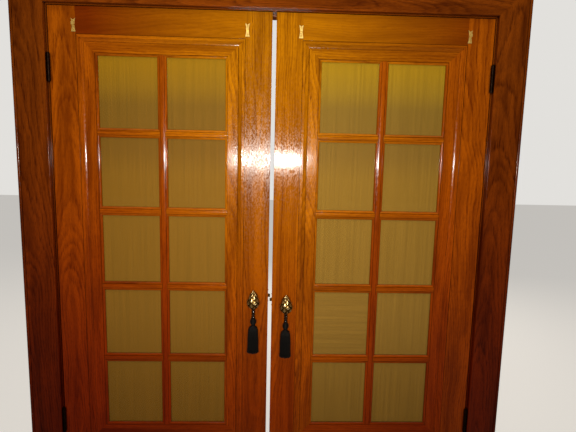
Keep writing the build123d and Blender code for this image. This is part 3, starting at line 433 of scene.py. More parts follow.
def wood_figure(tree, board, bent, rings, pith):
    """The board's figure, from 0 where it is darkest to about 1 in plain late wood."""
    sizes = bpy.context.scene.door_sizes
    # Open pores break the rings into dashes, 13 times as long as they are wide.
    pore = grain_noise(tree, board, pith, (1.0, 1.0, 0.08), 2.0, 0.6, 0.5 / sizes.pore_width)
    pores = add_node(
        tree,
        "ShaderNodeMapRange",
        {"Value": pore.outputs["Fac"], "From Min": 0.4, "From Max": 0.56, "To Min": 1.0, "To Max": 0.38},
    )
    dashes = add_node(
        tree, "ShaderNodeMath", {0: rings.outputs[0], 1: pores.outputs[0]}, operation="MULTIPLY"
    )
    late = add_node(tree, "ShaderNodeMath", {0: 1.0, 1: dashes.outputs[0]}, operation="SUBTRACT")
    # Streaks of darker wood, about 40 mm wide and 1 m long, bend with the rings.
    streak = grain_noise(tree, bent, pith, (26.0, 26.0, 0.9), 5.0, 0.62)
    streaks = add_node(
        tree,
        "ShaderNodeMapRange",
        {"Value": streak.outputs["Fac"], "From Min": 0.32, "From Max": 0.66, "To Min": 0.25, "To Max": 1.15},
    )
    clouded = add_node(
        tree, "ShaderNodeMath", {0: late.outputs[0], 1: streaks.outputs[0]}, operation="MULTIPLY"
    )
    # Single pores lie all over the board.
    prick = grain_noise(tree, board, -pith, (1.0, 1.0, 0.05), 1.0, 0.5, 0.5 / sizes.prick_width)
    pricks = add_node(
        tree,
        "ShaderNodeMapRange",
        {"Value": prick.outputs["Fac"], "From Min": 0.38, "From Max": 0.5, "To Min": 0.62, "To Max": 1.06},
    )
    return add_node(
        tree, "ShaderNodeMath", {0: clouded.outputs[0], 1: pricks.outputs[0]}, operation="MULTIPLY"
    )


def board_colour(tree, parts, figure, tones, turn, shaded_foot, plain):
    """The wood's colour: between its dark and light tones by figure, with painted shade by height, and
    across a turn.
    """
    shown = add_node(
        tree,
        "ShaderNodeMapRange",
        {"Value": figure.outputs[0], "To Min": 0.55 * plain, "To Max": 1.0 - 0.45 * plain},
    )
    # Painted shade: the wood grows darker and redder towards the bottom, between these heights
    height = add_node(
        tree,
        "ShaderNodeMapRange",
        {"Value": parts.outputs["Z"], "From Min": FOOT_HEIGHT, "From Max": TOP_HEIGHT},
        interpolation_type="SMOOTHSTEP",
    )
    woods = []
    for light, dark in zip(tones[0::2], tones[1::2]):
        wood = {0: shown.outputs[0]}
        for socket, tone in ((COLOUR_A, dark), (COLOUR_B, light)):
            low = rgba([value * share for value, share in zip(tone, shaded_foot)])
            ends = {0: height.outputs[0], COLOUR_A: low, COLOUR_B: rgba(tone)}
            wood[socket] = add_node(tree, "ShaderNodeMix", ends, data_type="RGBA").outputs[MIXED]
        woods.append(add_node(tree, "ShaderNodeMix", wood, data_type="RGBA").outputs[MIXED])
    if not turn:
        return woods[0]
    spread = add_node(tree, "ShaderNodeMath", {0: parts.outputs["X"]}, operation="ABSOLUTE")
    beyond = add_node(
        tree,
        "ShaderNodeMapRange",
        {"Value": spread.outputs[0], "From Min": turn[0], "From Max": turn[1]},
    )
    ends = {0: beyond.outputs[0], COLOUR_A: woods[0], COLOUR_B: woods[1]}
    return add_node(tree, "ShaderNodeMix", ends, data_type="RGBA").outputs[MIXED]


def corner_shade(tree, wood, dark):
    """The wood's colour with painted shade, darker within 9 mm of a corner."""
    # Painted shade: ambient occlusion darkens the wood towards a quarter of its dark tone in corners
    corner = add_node(tree, "ShaderNodeAmbientOcclusion", {"Distance": 9 * MM}, samples=6)
    painted_corner_shade = add_node(
        tree,
        "ShaderNodeMapRange",
        {"Value": corner.outputs["AO"], "From Min": 0.35, "From Max": 0.85, "To Min": 1.0, "To Max": 0.0},
    )
    ends = {0: painted_corner_shade.outputs[0], COLOUR_A: wood, COLOUR_B: rgba(dimmed(dark, 0.25))}
    return add_node(tree, "ShaderNodeMix", ends, data_type="RGBA").outputs[MIXED]


def gloss_varnish(tree, board, pith, wood, figure, rough):
    """Brushed gloss varnish: its coat alone shines, and brush marks and specks break up the shine."""
    grain = add_node(
        tree, "ShaderNodeBump", {"Strength": 0.3, "Distance": 0.25 * MM, "Height": figure.outputs[0]}
    )
    # Brush marks lie about 6 mm apart and are 22 mm long.
    brushed = grain_noise(tree, board, pith, (170.0, 170.0, 45.0), 3.0, 0.7)
    flow = add_node(
        tree, "ShaderNodeBump", {"Strength": 1.0, "Distance": rough * MM, "Height": brushed.outputs["Fac"]}
    )
    # Rubbed and glossy specks are about 4 mm wide and 8 mm long.
    sparkle = grain_noise(tree, board, pith, (260.0, 260.0, 120.0), 3.0, 0.6)
    marks = add_node(
        tree,
        "ShaderNodeMapRange",
        {
            "Value": sparkle.outputs["Fac"],
            "From Min": 0.42,
            "From Max": 0.6,
            "To Min": 0.3 * rough,
            "To Max": rough,
        },
    )
    varnish = add_node(
        tree,
        "ShaderNodeBsdfPrincipled",
        {
            "Base Color": wood,
            "Roughness": 0.5,
            "IOR": 1.5,
            "Specular IOR Level": 0.0,
            "Normal": grain.outputs[0],
            "Coat Weight": 0.35,
            "Coat IOR": 1.5,
            "Coat Roughness": marks.outputs[0],
            "Coat Normal": flow.outputs[0],
        },
    )
    add_node(tree, "ShaderNodeOutputMaterial", {"Surface": varnish.outputs[0]})


# Other materials


def painted_room_light(tree, place, colour):
    """A colour, fixed or a node's output, with the room's light, shade and reflection painted on by height.
    """
    top = PAINTED_ROOM_LIGHT[-1][0]
    parts = add_node(tree, "ShaderNodeSeparateXYZ", {0: place.outputs["Object"]})
    height = add_node(tree, "ShaderNodeMath", {0: parts.outputs["Z"], 1: top}, operation="DIVIDE")
    room = add_node(tree, "ShaderNodeValToRGB", {"Fac": height.outputs[0]})
    set_ramp(room, [(z / top, tint) for z, tint in PAINTED_ROOM_LIGHT])
    tinted = add_node(tree, "ShaderNodeVectorMath", {0: colour, 1: room.outputs[0]}, operation="MULTIPLY")
    return tinted.outputs[0]


def window_glass():
    """Soda-lime float glass, clear and smooth: the eye sees its reflection and a faint warm tint."""
    material, tree = new_material("window_glass")
    place = add_node(tree, "ShaderNodeTexCoord")
    # Painted light, shade and reflection of the room, by height, in the glass's colour
    tint = painted_room_light(tree, place, linear("#a4761a"))
    pane = add_node(
        tree,
        "ShaderNodeBsdfPrincipled",
        {"Base Color": tint, "Roughness": 0.05, "IOR": 1.5, "Alpha": 0.4},
    )
    add_node(tree, "ShaderNodeOutputMaterial", {"Surface": pane.outputs[0]})
    return material


def ribbed_film(name, colour, level):
    """Polyester privacy film, pressed with fine ribs: matt, olive-tan, streaked along its ribs.

    The streaks are about 9 mm wide and 0.7 m long, and level where the ribs are.
    """
    material, tree = new_material(name)
    place = add_node(tree, "ShaderNodeTexCoord")
    stretch = (1.5, 1.0, 110.0) if level else (110.0, 1.0, 1.5)
    drawn = add_node(tree, "ShaderNodeMapping", {"Vector": place.outputs["Object"], "Scale": stretch})
    streak = add_node(
        tree,
        "ShaderNodeTexNoise",
        {"Vector": drawn.outputs[0], "Scale": 1.0, "Detail": 5.0, "Roughness": 0.65},
    )
    tone = add_node(tree, "ShaderNodeValToRGB", {"Fac": streak.outputs["Fac"]})
    set_ramp(tone, [(0.32, dimmed(colour, 0.72)), (0.68, dimmed(colour, 1.2))])
    # The film's colour carries painted light, shade and reflection of the room, by height
    film = add_node(
        tree,
        "ShaderNodeBsdfPrincipled",
        {"Base Color": painted_room_light(tree, place, tone.outputs[0]), "Roughness": 0.65, "IOR": 1.57},
    )
    add_node(tree, "ShaderNodeOutputMaterial", {"Surface": film.outputs[0]})
    return material


def metal(name, colour, roughness, tarnish, patch):
    """A cast or pressed metal, with a darker and rougher tarnish in patches of that size."""
    material, tree = new_material(name)
    place = add_node(tree, "ShaderNodeTexCoord")
    cloud = add_node(
        tree,
        "ShaderNodeTexNoise",
        {"Vector": place.outputs["Object"], "Scale": 1.0 / patch, "Detail": 4.0},
    )
    tone = add_node(tree, "ShaderNodeValToRGB", {"Fac": cloud.outputs["Fac"]})
    set_ramp(tone, [(0.35, dimmed(colour, tarnish)), (0.62, colour)])
    wear = add_node(
        tree,
        "ShaderNodeMapRange",
        {
            "Value": cloud.outputs["Fac"],
            "From Min": 0.35,
            "From Max": 0.65,
            "To Min": roughness * 1.5,
            "To Max": roughness,
        },
    )
    shader = add_node(
        tree,
        "ShaderNodeBsdfPrincipled",
        {"Base Color": tone.outputs[0], "Metallic": 1.0, "Roughness": wear.outputs[0]},
    )
    add_node(tree, "ShaderNodeOutputMaterial", {"Surface": shader.outputs[0]})
    return material


def antique_brass():
    """Cast brass, darkened in its hollows and rubbed bright on its ridges."""
    material, tree = new_material("antique_cast_brass")
    rubbed = add_node(tree, "ShaderNodeAttribute", attribute_name="rubbed")
    tone = add_node(tree, "ShaderNodeValToRGB", {"Fac": rubbed.outputs["Fac"]})
    stops = [(0.26, "#080402"), (0.48, "#76561e"), (0.78, "#f9e2a8")]
    set_ramp(tone, [(position, linear(code)) for position, code in stops])
    polish = add_node(
        tree,
        "ShaderNodeMapRange",
        {"Value": rubbed.outputs["Fac"], "From Min": 0.2, "From Max": 0.9, "To Min": 0.55, "To Max": 0.2},
    )
    shader = add_node(
        tree,
        "ShaderNodeBsdfPrincipled",
        {"Base Color": tone.outputs[0], "Metallic": 1.0, "Roughness": polish.outputs[0]},
    )
    add_node(tree, "ShaderNodeOutputMaterial", {"Surface": shader.outputs[0]})
    return material


def rayon_thread():
    """Spun black rayon: dark, with a silky sheen along the threads, which lie about 1 mm apart."""
    material, tree = new_material("spun_black_rayon")
    place = add_node(tree, "ShaderNodeTexCoord")
    twist = add_node(
        tree, "ShaderNodeTexNoise", {"Vector": place.outputs["Object"], "Scale": 900.0, "Detail": 2.0}
    )
    colour = bpy.context.scene.door_colours.thread
    tone = add_node(tree, "ShaderNodeValToRGB", {"Fac": twist.outputs["Fac"]})
    set_ramp(tone, [(0.35, dimmed(colour, 0.6)), (0.7, dimmed(colour, 1.7))])
    bump = add_node(
        tree, "ShaderNodeBump", {"Strength": 0.4, "Distance": 0.2 * MM, "Height": twist.outputs["Fac"]}
    )
    shader = add_node(
        tree,
        "ShaderNodeBsdfPrincipled",
        {
            "Base Color": tone.outputs[0],
            "Roughness": 0.6,
            "Specular IOR Level": 0.22,
            "Sheen Weight": 0.03,
            "Sheen Roughness": 0.4,
            "Normal": bump.outputs[0],
        },
    )
    add_node(tree, "ShaderNodeOutputMaterial", {"Surface": shader.outputs[0]})
    return material


def jet_glass():
    """Pressed black glass of the beads, fire-polished: nearly black with sharp highlights."""
    material, tree = new_material("pressed_jet_glass")
    place = add_node(tree, "ShaderNodeTexCoord")
    cloud = add_node(
        tree, "ShaderNodeTexNoise", {"Vector": place.outputs["Object"], "Scale": 160.0, "Detail": 1.0}
    )
    tone = add_node(tree, "ShaderNodeValToRGB", {"Fac": cloud.outputs["Fac"]})
    set_ramp(tone, [(0.4, linear("#0d0a09")), (0.65, linear("#2a1a12"))])
    shader = add_node(
        tree,
        "ShaderNodeBsdfPrincipled",
        {
            "Base Color": tone.outputs[0],
            "Roughness": 0.08,
            "IOR": 1.52,
            "Coat Weight": 0.5,
            "Coat Roughness": 0.05,
        },
    )
    add_node(tree, "ShaderNodeOutputMaterial", {"Surface": shader.outputs[0]})
    return material


def dress(node, material):
    """Gives a CAD piece its finish."""
    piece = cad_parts[node]
    piece.data.materials.clear()
    piece.data.materials.append(material)


# Mesh helpers


def solid_of_rings(name, rings, material, smooth=True, rubbed=None):
    """A closed solid skinned over a row of equal rings, with a flat cap at each end."""
    around = len(rings[0])
    points = [point for ring in rings for point in ring]
    faces = []
    for step in range(len(rings) - 1):
        low = step * around
        high = low + around
        for i in range(around):
            j = (i + 1) % around
            faces.append((low + i, low + j, high + j, high + i))
    faces.append(tuple(range(around - 1, -1, -1)))
    faces.append(tuple(range(len(points) - around, len(points))))
    mesh = bpy.data.meshes.new(name)
    mesh.from_pydata(points, [], faces)
    mesh.validate()
    mesh.polygons.foreach_set("use_smooth", [smooth] * len(mesh.polygons))
    mesh.materials.append(material)
    if rubbed:
        layer = mesh.attributes.new("rubbed", "FLOAT", "POINT")
        layer.data.foreach_set("value", rubbed)
    mesh.update()
    piece = bpy.data.objects.new(name, mesh)
    bpy.context.scene.collection.objects.link(piece)
    return piece


def join(pieces, name):
    """One object from several, under a plain name."""
    bpy.ops.object.select_all(action="DESELECT")
    for piece in pieces:
        piece.select_set(True)
    bpy.context.view_layer.objects.active = pieces[0]
    bpy.ops.object.join()
    pieces[0].name = name
    return pieces[0]


def middle(node):
    """The middle of a CAD piece's box."""
    low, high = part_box(node)
    return (low + high) / 2


def turns(count):
    """Equal angles round a full turn."""
    return [2 * math.pi * k / count for k in range(count)]


def level_ring(centre, size, z, count):
    """A level ring of points round the upright line through a centre."""
    return [Vector((centre.x + size * math.cos(a), centre.y + size * math.sin(a), z)) for a in turns(count)]


def bunch(name, path, radius, material):
    """A round bunch of thread along a row of points, tapered at its end."""
    rings = []
    for i, point in enumerate(path):
        before = path[max(i - 1, 0)]
        after = path[min(i + 1, len(path) - 1)]
        along = (after - before).normalized()
        side = along.cross(Vector((0.3, 1.0, 0.1))).normalized()
        over = along.cross(side)
        size = radius * (0.75 if i == len(path) - 1 else 1.0)
        rings.append([point + size * (math.cos(t) * side + math.sin(t) * over) for t in turns(5)])
    return solid_of_rings(name, rings, material)


# Knobs


def leaf_relief(around, along):
    """Height of the knob's cast leaves, from 0 where a leaf starts to 1 at its raised tip.

    The leaves lie in diamonds and point down. Each rises from under the two above it and ends
    in a lip over the two below it, with a rib along its middle and a groove beside its edge.
    """
    left = (along + around) % 1.0
    right = (along - around) % 1.0
    rise = (left + right) / 2
    off = abs(left - right)
    edge = max(left, right)
    rib = 0.16 * max(0.0, 1 - off * 5)
    groove = -0.22 if 0.72 < edge < 0.84 else 0.0
    curl = -0.35 * max(0.0, (edge - 0.93) / 0.07)
    return max(0.0, min(1.0, 0.12 + 0.78 * rise**0.8 + rib + groove + curl - 0.3 * off * off))


def circle_through(a, m, b):
    """Centre and radius of the circle through three points of the knob's outline."""
    d = 2 * (a[0] * (m[1] - b[1]) + m[0] * (b[1] - a[1]) + b[0] * (a[1] - m[1]))
    sa, sm, sb = (p[0] ** 2 + p[1] ** 2 for p in (a, m, b))
    x = (sa * (m[1] - b[1]) + sm * (b[1] - a[1]) + sb * (a[1] - m[1])) / d
    z = (sa * (b[0] - m[0]) + sm * (a[0] - b[0]) + sb * (m[0] - a[0])) / d
    return x, z, math.hypot(a[0] - x, a[1] - z)


def knob_outline(height):
    """Half width of the knob's head at a height over its middle."""
    sizes = bpy.context.scene.door_sizes
    half = sizes.knob_width / 2
    top = sizes.knob_height / 2
    if height > KNOB_WIDEST:
        x, z, r = circle_through((0, top), (half * 0.62, top * 0.42), (half, KNOB_WIDEST))
    elif height > -top * 0.95:
        shoulder = (half, KNOB_WIDEST)
        x, z, r = circle_through(shoulder, (half * 0.87, -top * 0.66), (KNOB_FOOT, -top * 0.95))
    else:
        return KNOB_FOOT * (height + top) / (0.05 * top)
    return max(x + math.sqrt(max(r * r - (height - z) ** 2, 0)), 0.2 * MM)


def knob_head(name, centre, material):
    """Pointed oval head covered with cast leaves, cut in from the plain oval."""
    sizes = bpy.context.scene.door_sizes
    top = sizes.knob_height / 2
    levels = 112
    around = 160
    squash = sizes.knob_thickness / sizes.knob_width
    rings = []
    rubbed = []
    for step in range(levels + 1):
        part = step / levels
        height = top * (2 * part - 1) * 0.998
        width = knob_outline(height)
        fade = min(1.0, width / (8 * MM))
        ring = []
        for k, turn in enumerate(turns(around)):
            relief = leaf_relief(KNOB_LEAVES * k / around, KNOB_LEAF_ROWS * (1 - part) + 0.35)
            cut = sizes.knob_relief * (1 - relief) * fade
            reach = max(width - cut, 0.1 * MM)
            ring.append(centre + Vector((reach * math.cos(turn), reach * squash * math.sin(turn), height)))
            rubbed.append(relief if fade > 0.4 else 0.6)
        rings.append(ring)
    return solid_of_rings(name, rings, material, rubbed=rubbed)


def knob_shank(name, start, out, length, material):
    """Turned shank from the rose to the head, thinner in its middle third, with one collar there."""
    radius = bpy.context.scene.door_sizes.shank_radius
    rings = []
    rubbed = []
    steps = 40
    for step in range(steps + 1):
        t = step / steps
        thinner = 1 / 3 < t < 2 / 3
        collar = COLLAR * max(0.0, math.sin(t * 6 * math.pi)) if thinner else 0.0
        size = radius - COLLAR + collar if thinner else radius
        ring = []
        for turn in turns(32):
            ring.append(start + Vector((size * math.cos(turn), out * length * t, size * math.sin(turn))))
            rubbed.append(0.35 + 0.4 * (collar > 0))
        rings.append(ring if out < 0 else list(reversed(ring)))
    return solid_of_rings(name, rings, material, rubbed=rubbed)


# Film


def rib_outline(width, pitch):
    """Outline of the ribbed film's section: a waved face and a flat back."""
    steps = 4 * round(width / pitch)
    face = []
    for i in range(steps + 1):
        wave = 0.5 - 0.5 * math.cos(math.pi * i / 2)
        face.append((-width / 2 + width * i / steps, -RIB_DEPTH * wave))
    return face + [(width / 2, RIB_DEPTH * 0.5), (-width / 2, RIB_DEPTH * 0.5)]


def film_sheet(name, centre, size, level, material):
    """One sheet of film with its ribs upright, or level where it was stuck on sideways."""
    sizes = bpy.context.scene.door_sizes
    width, height = size
    outline = rib_outline(height if level else width, sizes.rib_pitch)
    reach = (width if level else height) / 2
    rings = []
    for end in (-reach, reach):
        if level:
            rings.append([centre + Vector((end, y, -s)) for s, y in outline])
        else:
            rings.append([centre + Vector((s, y, end)) for s, y in outline])
    return solid_of_rings(name, rings, material, smooth=False)


# Operators


class DOORS_OT_oak(bpy.types.Operator):
    """Finish every wooden piece in varnished oak, each with the grain of its own board"""

    bl_idname = "doors.oak"
    bl_label = "Oak"

    def execute(self, context):
        colours = context.scene.door_colours
        honey = (colours.honey_light[:], colours.honey_dark[:])
        worn = tuple(dimmed(tone, 0.9) for tone in honey)
        amber = (colours.amber_light[:], colours.amber_dark[:])
        russet = (colours.russet_light[:], colours.russet_dark[:])
        umber = (colours.umber_light[:], colours.umber_dark[:])
        # How the boards were sawn: far from the tree's middle, or close by it
        straight = {"depth": 0.5, "tilt": 0.0, "swing": 0.03}
        arched = {"depth": 0.03, "tilt": 0.08, "swing": 0.08}
        # The moulding's inner upright is of one board and its outer one of another
        halves = {**arched, "turn": (0.499, 0.501)}
        for side in SIDES:
            left = side == "left"
            hand = -1 if left else 1
            rail = {"turn": (0.08, 0.72) if left else (0.16, 0.86)}
            lock = {"depth": 0.09, "swing": 0.06, "rough": 0.26 if left else 0.16, "plain": 0.15}
            # Painted shade low down for each board; the right hinge stile's keeps more green and red, for a
            # painted warm light from the lower right
            low = {"shaded_foot": (0.8, 0.34, 0.3) if left else (0.84, 0.42, 0.35)}
            hinge_shaded_foot = {"shaded_foot": SHADED_FOOT if left else (0.84, 0.54, 0.4)}
            right_shaded_foot = {"shaded_foot": SHADED_FOOT} if left else low
            # Piece, the grain's axis, the pith's place across the board, tones and cut
            boards = [
                ("hinge_stile", "Z", hand * 0.78, amber, {**arched, **hinge_shaded_foot}),
                ("lock_stile", "Z", hand * 0.03, worn if left else honey, lock),
                ("top_rail", "X", 1.96, honey + russet, {**arched, **rail, "plain": 0.6}),
                ("bottom_rail", "X", 0.12, honey + amber, {**arched, **rail}),
                ("moulding_uprights", "Z", hand * 0.155, honey + amber, {**halves, **right_shaded_foot}),
                ("moulding_rails", "X", 1.2, honey + amber, {**straight, **rail}),
                ("upright_bar", "Z", hand * 0.44, amber, {**straight, **right_shaded_foot}),
                ("cross_bars", "X", 0.9, honey + amber, {**straight, **rail, **low}),
                ("glazing_beads", "Z", hand * 0.44, honey, straight),
            ]
            for piece, cut in (("jamb", straight), ("casings", arched)):
                boards.append((piece, "Z", middle(f"{side}_{piece}").x + 0.02 * hand, umber, cut))
            for piece, along, pith, tones, cut in boards:
                self.varnish(f"{side}_{piece}", along, pith, tones, cut)
        self.varnish("head_jamb", "X", middle("head_jamb").z, umber, straight)
        self.varnish("head_casings", "X", middle("head_casings").z, umber, arched)
        self.varnish("door_stops", "Z", 0.0, umber, straight)
        return {"FINISHED"}

    def varnish(self, node, along, pith, tones, cut):
        """Gives a wooden piece its own board: the grain's axis, the pith's place, tones and cut."""
        dress(node, varnished_oak(f"varnished_oak_{node}", along, pith, tones, **cut))


class DOORS_OT_glazing(bpy.types.Operator):
    """Glaze the leaves: clear panes with a ribbed film behind each"""

    bl_idname = "doors.glazing"
    bl_label = "Glazing"

    def execute(self, context):
        colours = context.scene.door_colours
        glass = window_glass()
        # The right leaf's film is paler, for a painted veil of reflected light
        for side, colour in zip(SIDES, (colours.film, colours.film_pale_painted_veil)):
            dress(f"{side}_panes", glass)
            node = f"{side}_privacy_film"
            piece = join(self.sheets(side, node, colour[:]), f"{side}_ribbed_film")
            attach(piece, f"{side}_leaf")
            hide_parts(node)
        return {"FINISHED"}

    def sheets(self, side, node, colour):
        """A leaf's sheets of film, each in the place of its plain solid."""
        sizes = bpy.context.scene.door_sizes
        upright = ribbed_film(f"ribbed_film_{side}", colour, False)
        width, height = sizes.film_width, sizes.film_height
        cut = (width + 2 * sizes.film_lap, height + 2 * sizes.film_lap)
        low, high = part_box(node)
        pitch_x = (high.x - low.x - width) / (COLUMNS - 1)
        pitch_z = (high.z - low.z - height) / (ROWS - 1)
        sheets = []
        for row in range(ROWS):
            for column in range(COLUMNS):
                x = low.x + width / 2 + column * pitch_x
                z = high.z - height / 2 - row * pitch_z
                centre = Vector((x, (low.y + high.y) / 2, z))
                level = (side, row, column) == SIDEWAYS
                film = ribbed_film(f"ribbed_film_{side}_level", colour, True) if level else upright
                sheets.append(film_sheet(f"{side}_film_{row}_{column}", centre, cut, level, film))
        return sheets


class DOORS_OT_ironmongery(bpy.types.Operator):
    """Finish the hinges, latches, brackets and screws"""

    bl_idname = "doors.ironmongery"
    bl_label = "Ironmongery"

    def execute(self, context):
        colours = context.scene.door_colours
        # Oil-rubbed bronze, darkened in a bath and waxed: brown-black with a soft sheen
        bronze = metal("oil_rubbed_bronze", colours.bronze[:], 0.38, 0.5, 12 * MM)
        # Cast brass, brushed to a satin: pale gold without a mirror's sharp edges
        brass = metal("satin_brass", colours.brass[:], 0.45, 0.8, 9 * MM)
        # Rolled brass, made dark: brown, with paler places left
        dark_brass = metal("dark_brass_plate", linear("#5e482a"), 0.42, 0.4, 10 * MM)
        # Pressed steel, zinc-plated: cool grey and slightly clouded
        steel = metal("zinc_plated_steel", linear("#9a9a98"), 0.34, 0.75, 14 * MM)
        # Spun brass, aged under its lacquer: gold-brown with dark clouds
        rose = metal("aged_brass_rose", linear("#7a5a2a"), 0.36, 0.35, 6 * MM)
        for node in ("jamb_hinge_plates", "hinge_pins", "jamb_hinge_screws"):
            dress(node, bronze)
        for side in SIDES:
            for piece in ("hinge_plates", "hinge_screws"):
                dress(f"{side}_{piece}", bronze)
            for piece in ("rod_brackets", "trim_screws"):
                dress(f"{side}_{piece}", brass)
            for piece in ("latch_faceplate", "latch_bolt"):
                dress(f"{side}_{piece}", dark_brass)
            for piece in ("latch_case", "spindle"):
                dress(f"{side}_{piece}", steel)
            dress(f"{side}_roses", rose)
        return {"FINISHED"}


class DOORS_OT_knobs(bpy.types.Operator):
    """Model the cast knobs over their plain solids, front and back"""

    bl_idname = "doors.knobs"
    bl_label = "Knobs"

    def execute(self, context):
        thick = context.scene.door_sizes.knob_thickness
        brass = antique_brass()
        for side in SIDES:
            node = f"{side}_knobs"
            low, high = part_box(node)
            leaf_low, leaf_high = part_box(f"{side}_lock_stile")
            axis = Vector(((low.x + high.x) / 2, 0, (low.z + high.z) / 2))
            pieces = []
            for word, out, face, tip in (("front", -1, leaf_low.y, low.y), ("back", 1, leaf_high.y, high.y)):
                centre = axis + Vector((0, tip - out * thick / 2, 0))
                # The shank starts just clear of the leaf and ends a quarter of the way into the head.
                start = axis + Vector((0, face + out * 0.1 * MM, 0))
                length = abs(tip - face) - thick * 0.75
                pieces.append(knob_head(f"{side}_{word}_head", centre, brass))
                pieces.append(knob_shank(f"{side}_{word}_shank", start, out, length, brass))
            piece = join(pieces, f"{side}_cast_knobs")
            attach(piece, f"{side}_handle")
            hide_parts(node)
        return {"FINISHED"}


class DOORS_OT_tassels(bpy.types.Operator):
    """Model the tassels: bound knot and skirt of threads, and finish the beads and hanging cord"""

    bl_idname = "doors.tassels"
    bl_label = "Tassels"

    def execute(self, context):
        sizes = context.scene.door_sizes
        thread = rayon_thread()
        jet = jet_glass()
        for side in SIDES:
            body = f"{side}_tassel"
            dress(f"{side}_tassel_cord", thread)
            dress(f"{side}_tassel_beads", jet)
            self.bind_knot(side, body, thread)
            self.hang_skirt(side, body, thread, sizes)
        return {"FINISHED"}

    def bind_knot(self, side, body, thread):
        """The knot: a fat ball of thread, wound round and round."""
        node = f"{side}_tassel_knot"
        low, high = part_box(node)
        centre = (low + high) / 2
        full = (high.x - low.x) / 2
        rings = []
        levels = 72
        for step in range(levels + 1):
            t = step / levels
            belly = math.sin(math.pi * (0.12 + 0.76 * t)) ** 0.7
            size = full * (0.25 + 0.75 * belly) - 0.5 * MM
            # The turns of thread stand 0.45 mm out of the ball, and lie as far in between.
            size += 0.45 * MM * math.cos(2 * math.pi * KNOT_TURNS * t)
            rings.append(level_ring(centre, size, low.z + (high.z - low.z) * t, 36))
        piece = solid_of_rings(f"{side}_bound_knot", rings, thread)
        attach(piece, body)
        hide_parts(node)

    def hang_skirt(self, side, body, thread, sizes):
        """The skirt: bunches of thread over a dark core, spreading towards an uneven hem."""
        node = f"{side}_tassel_skirt"
        low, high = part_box(node)
        centre = (low + high) / 2
        tall = high.z - low.z
        hem = (high.x - low.x) / 2
        core = []
        for part, share in reversed(SKIRT_OUTLINE):
            size = hem * share - 2.6 * sizes.strand_radius
            core.append(level_ring(centre, size, high.z - tall * part * 0.97, 32))
        pieces = [solid_of_rings(f"{side}_skirt_core", core, thread)]
        for layer, count in enumerate((sizes.strands, sizes.strands - FEWER_INSIDE)):
            for k in range(count):
                # Each bunch sways a little its own way and ends at its own height.
                turn = 2 * math.pi * (k + 0.5 * layer) / count
                sway = math.sin(k * 7.3 + layer * 2.1 + len(side))
                drop = 1.0 - 0.02 * abs(math.sin(k * 12.9 + layer * 4.7))
                path = []
                for part, share in SKIRT_OUTLINE:
                    size = hem * share - sizes.strand_radius * (1.15 + 1.3 * layer)
                    size += 0.5 * MM * math.sin(k * 3.7 + part * 5) * part - 0.4 * MM * part
                    angle = turn + 0.05 * sway * part * part
                    x = centre.x + size * math.cos(angle)
                    y = centre.y + size * math.sin(angle)
                    path.append(Vector((x, y, high.z - tall * part * drop)))
                pieces.append(bunch(f"{side}_strand_{layer}_{k}", path, sizes.strand_radius, thread))
        piece = join(pieces, f"{side}_thread_skirt")
        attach(piece, body)
        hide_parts(node)


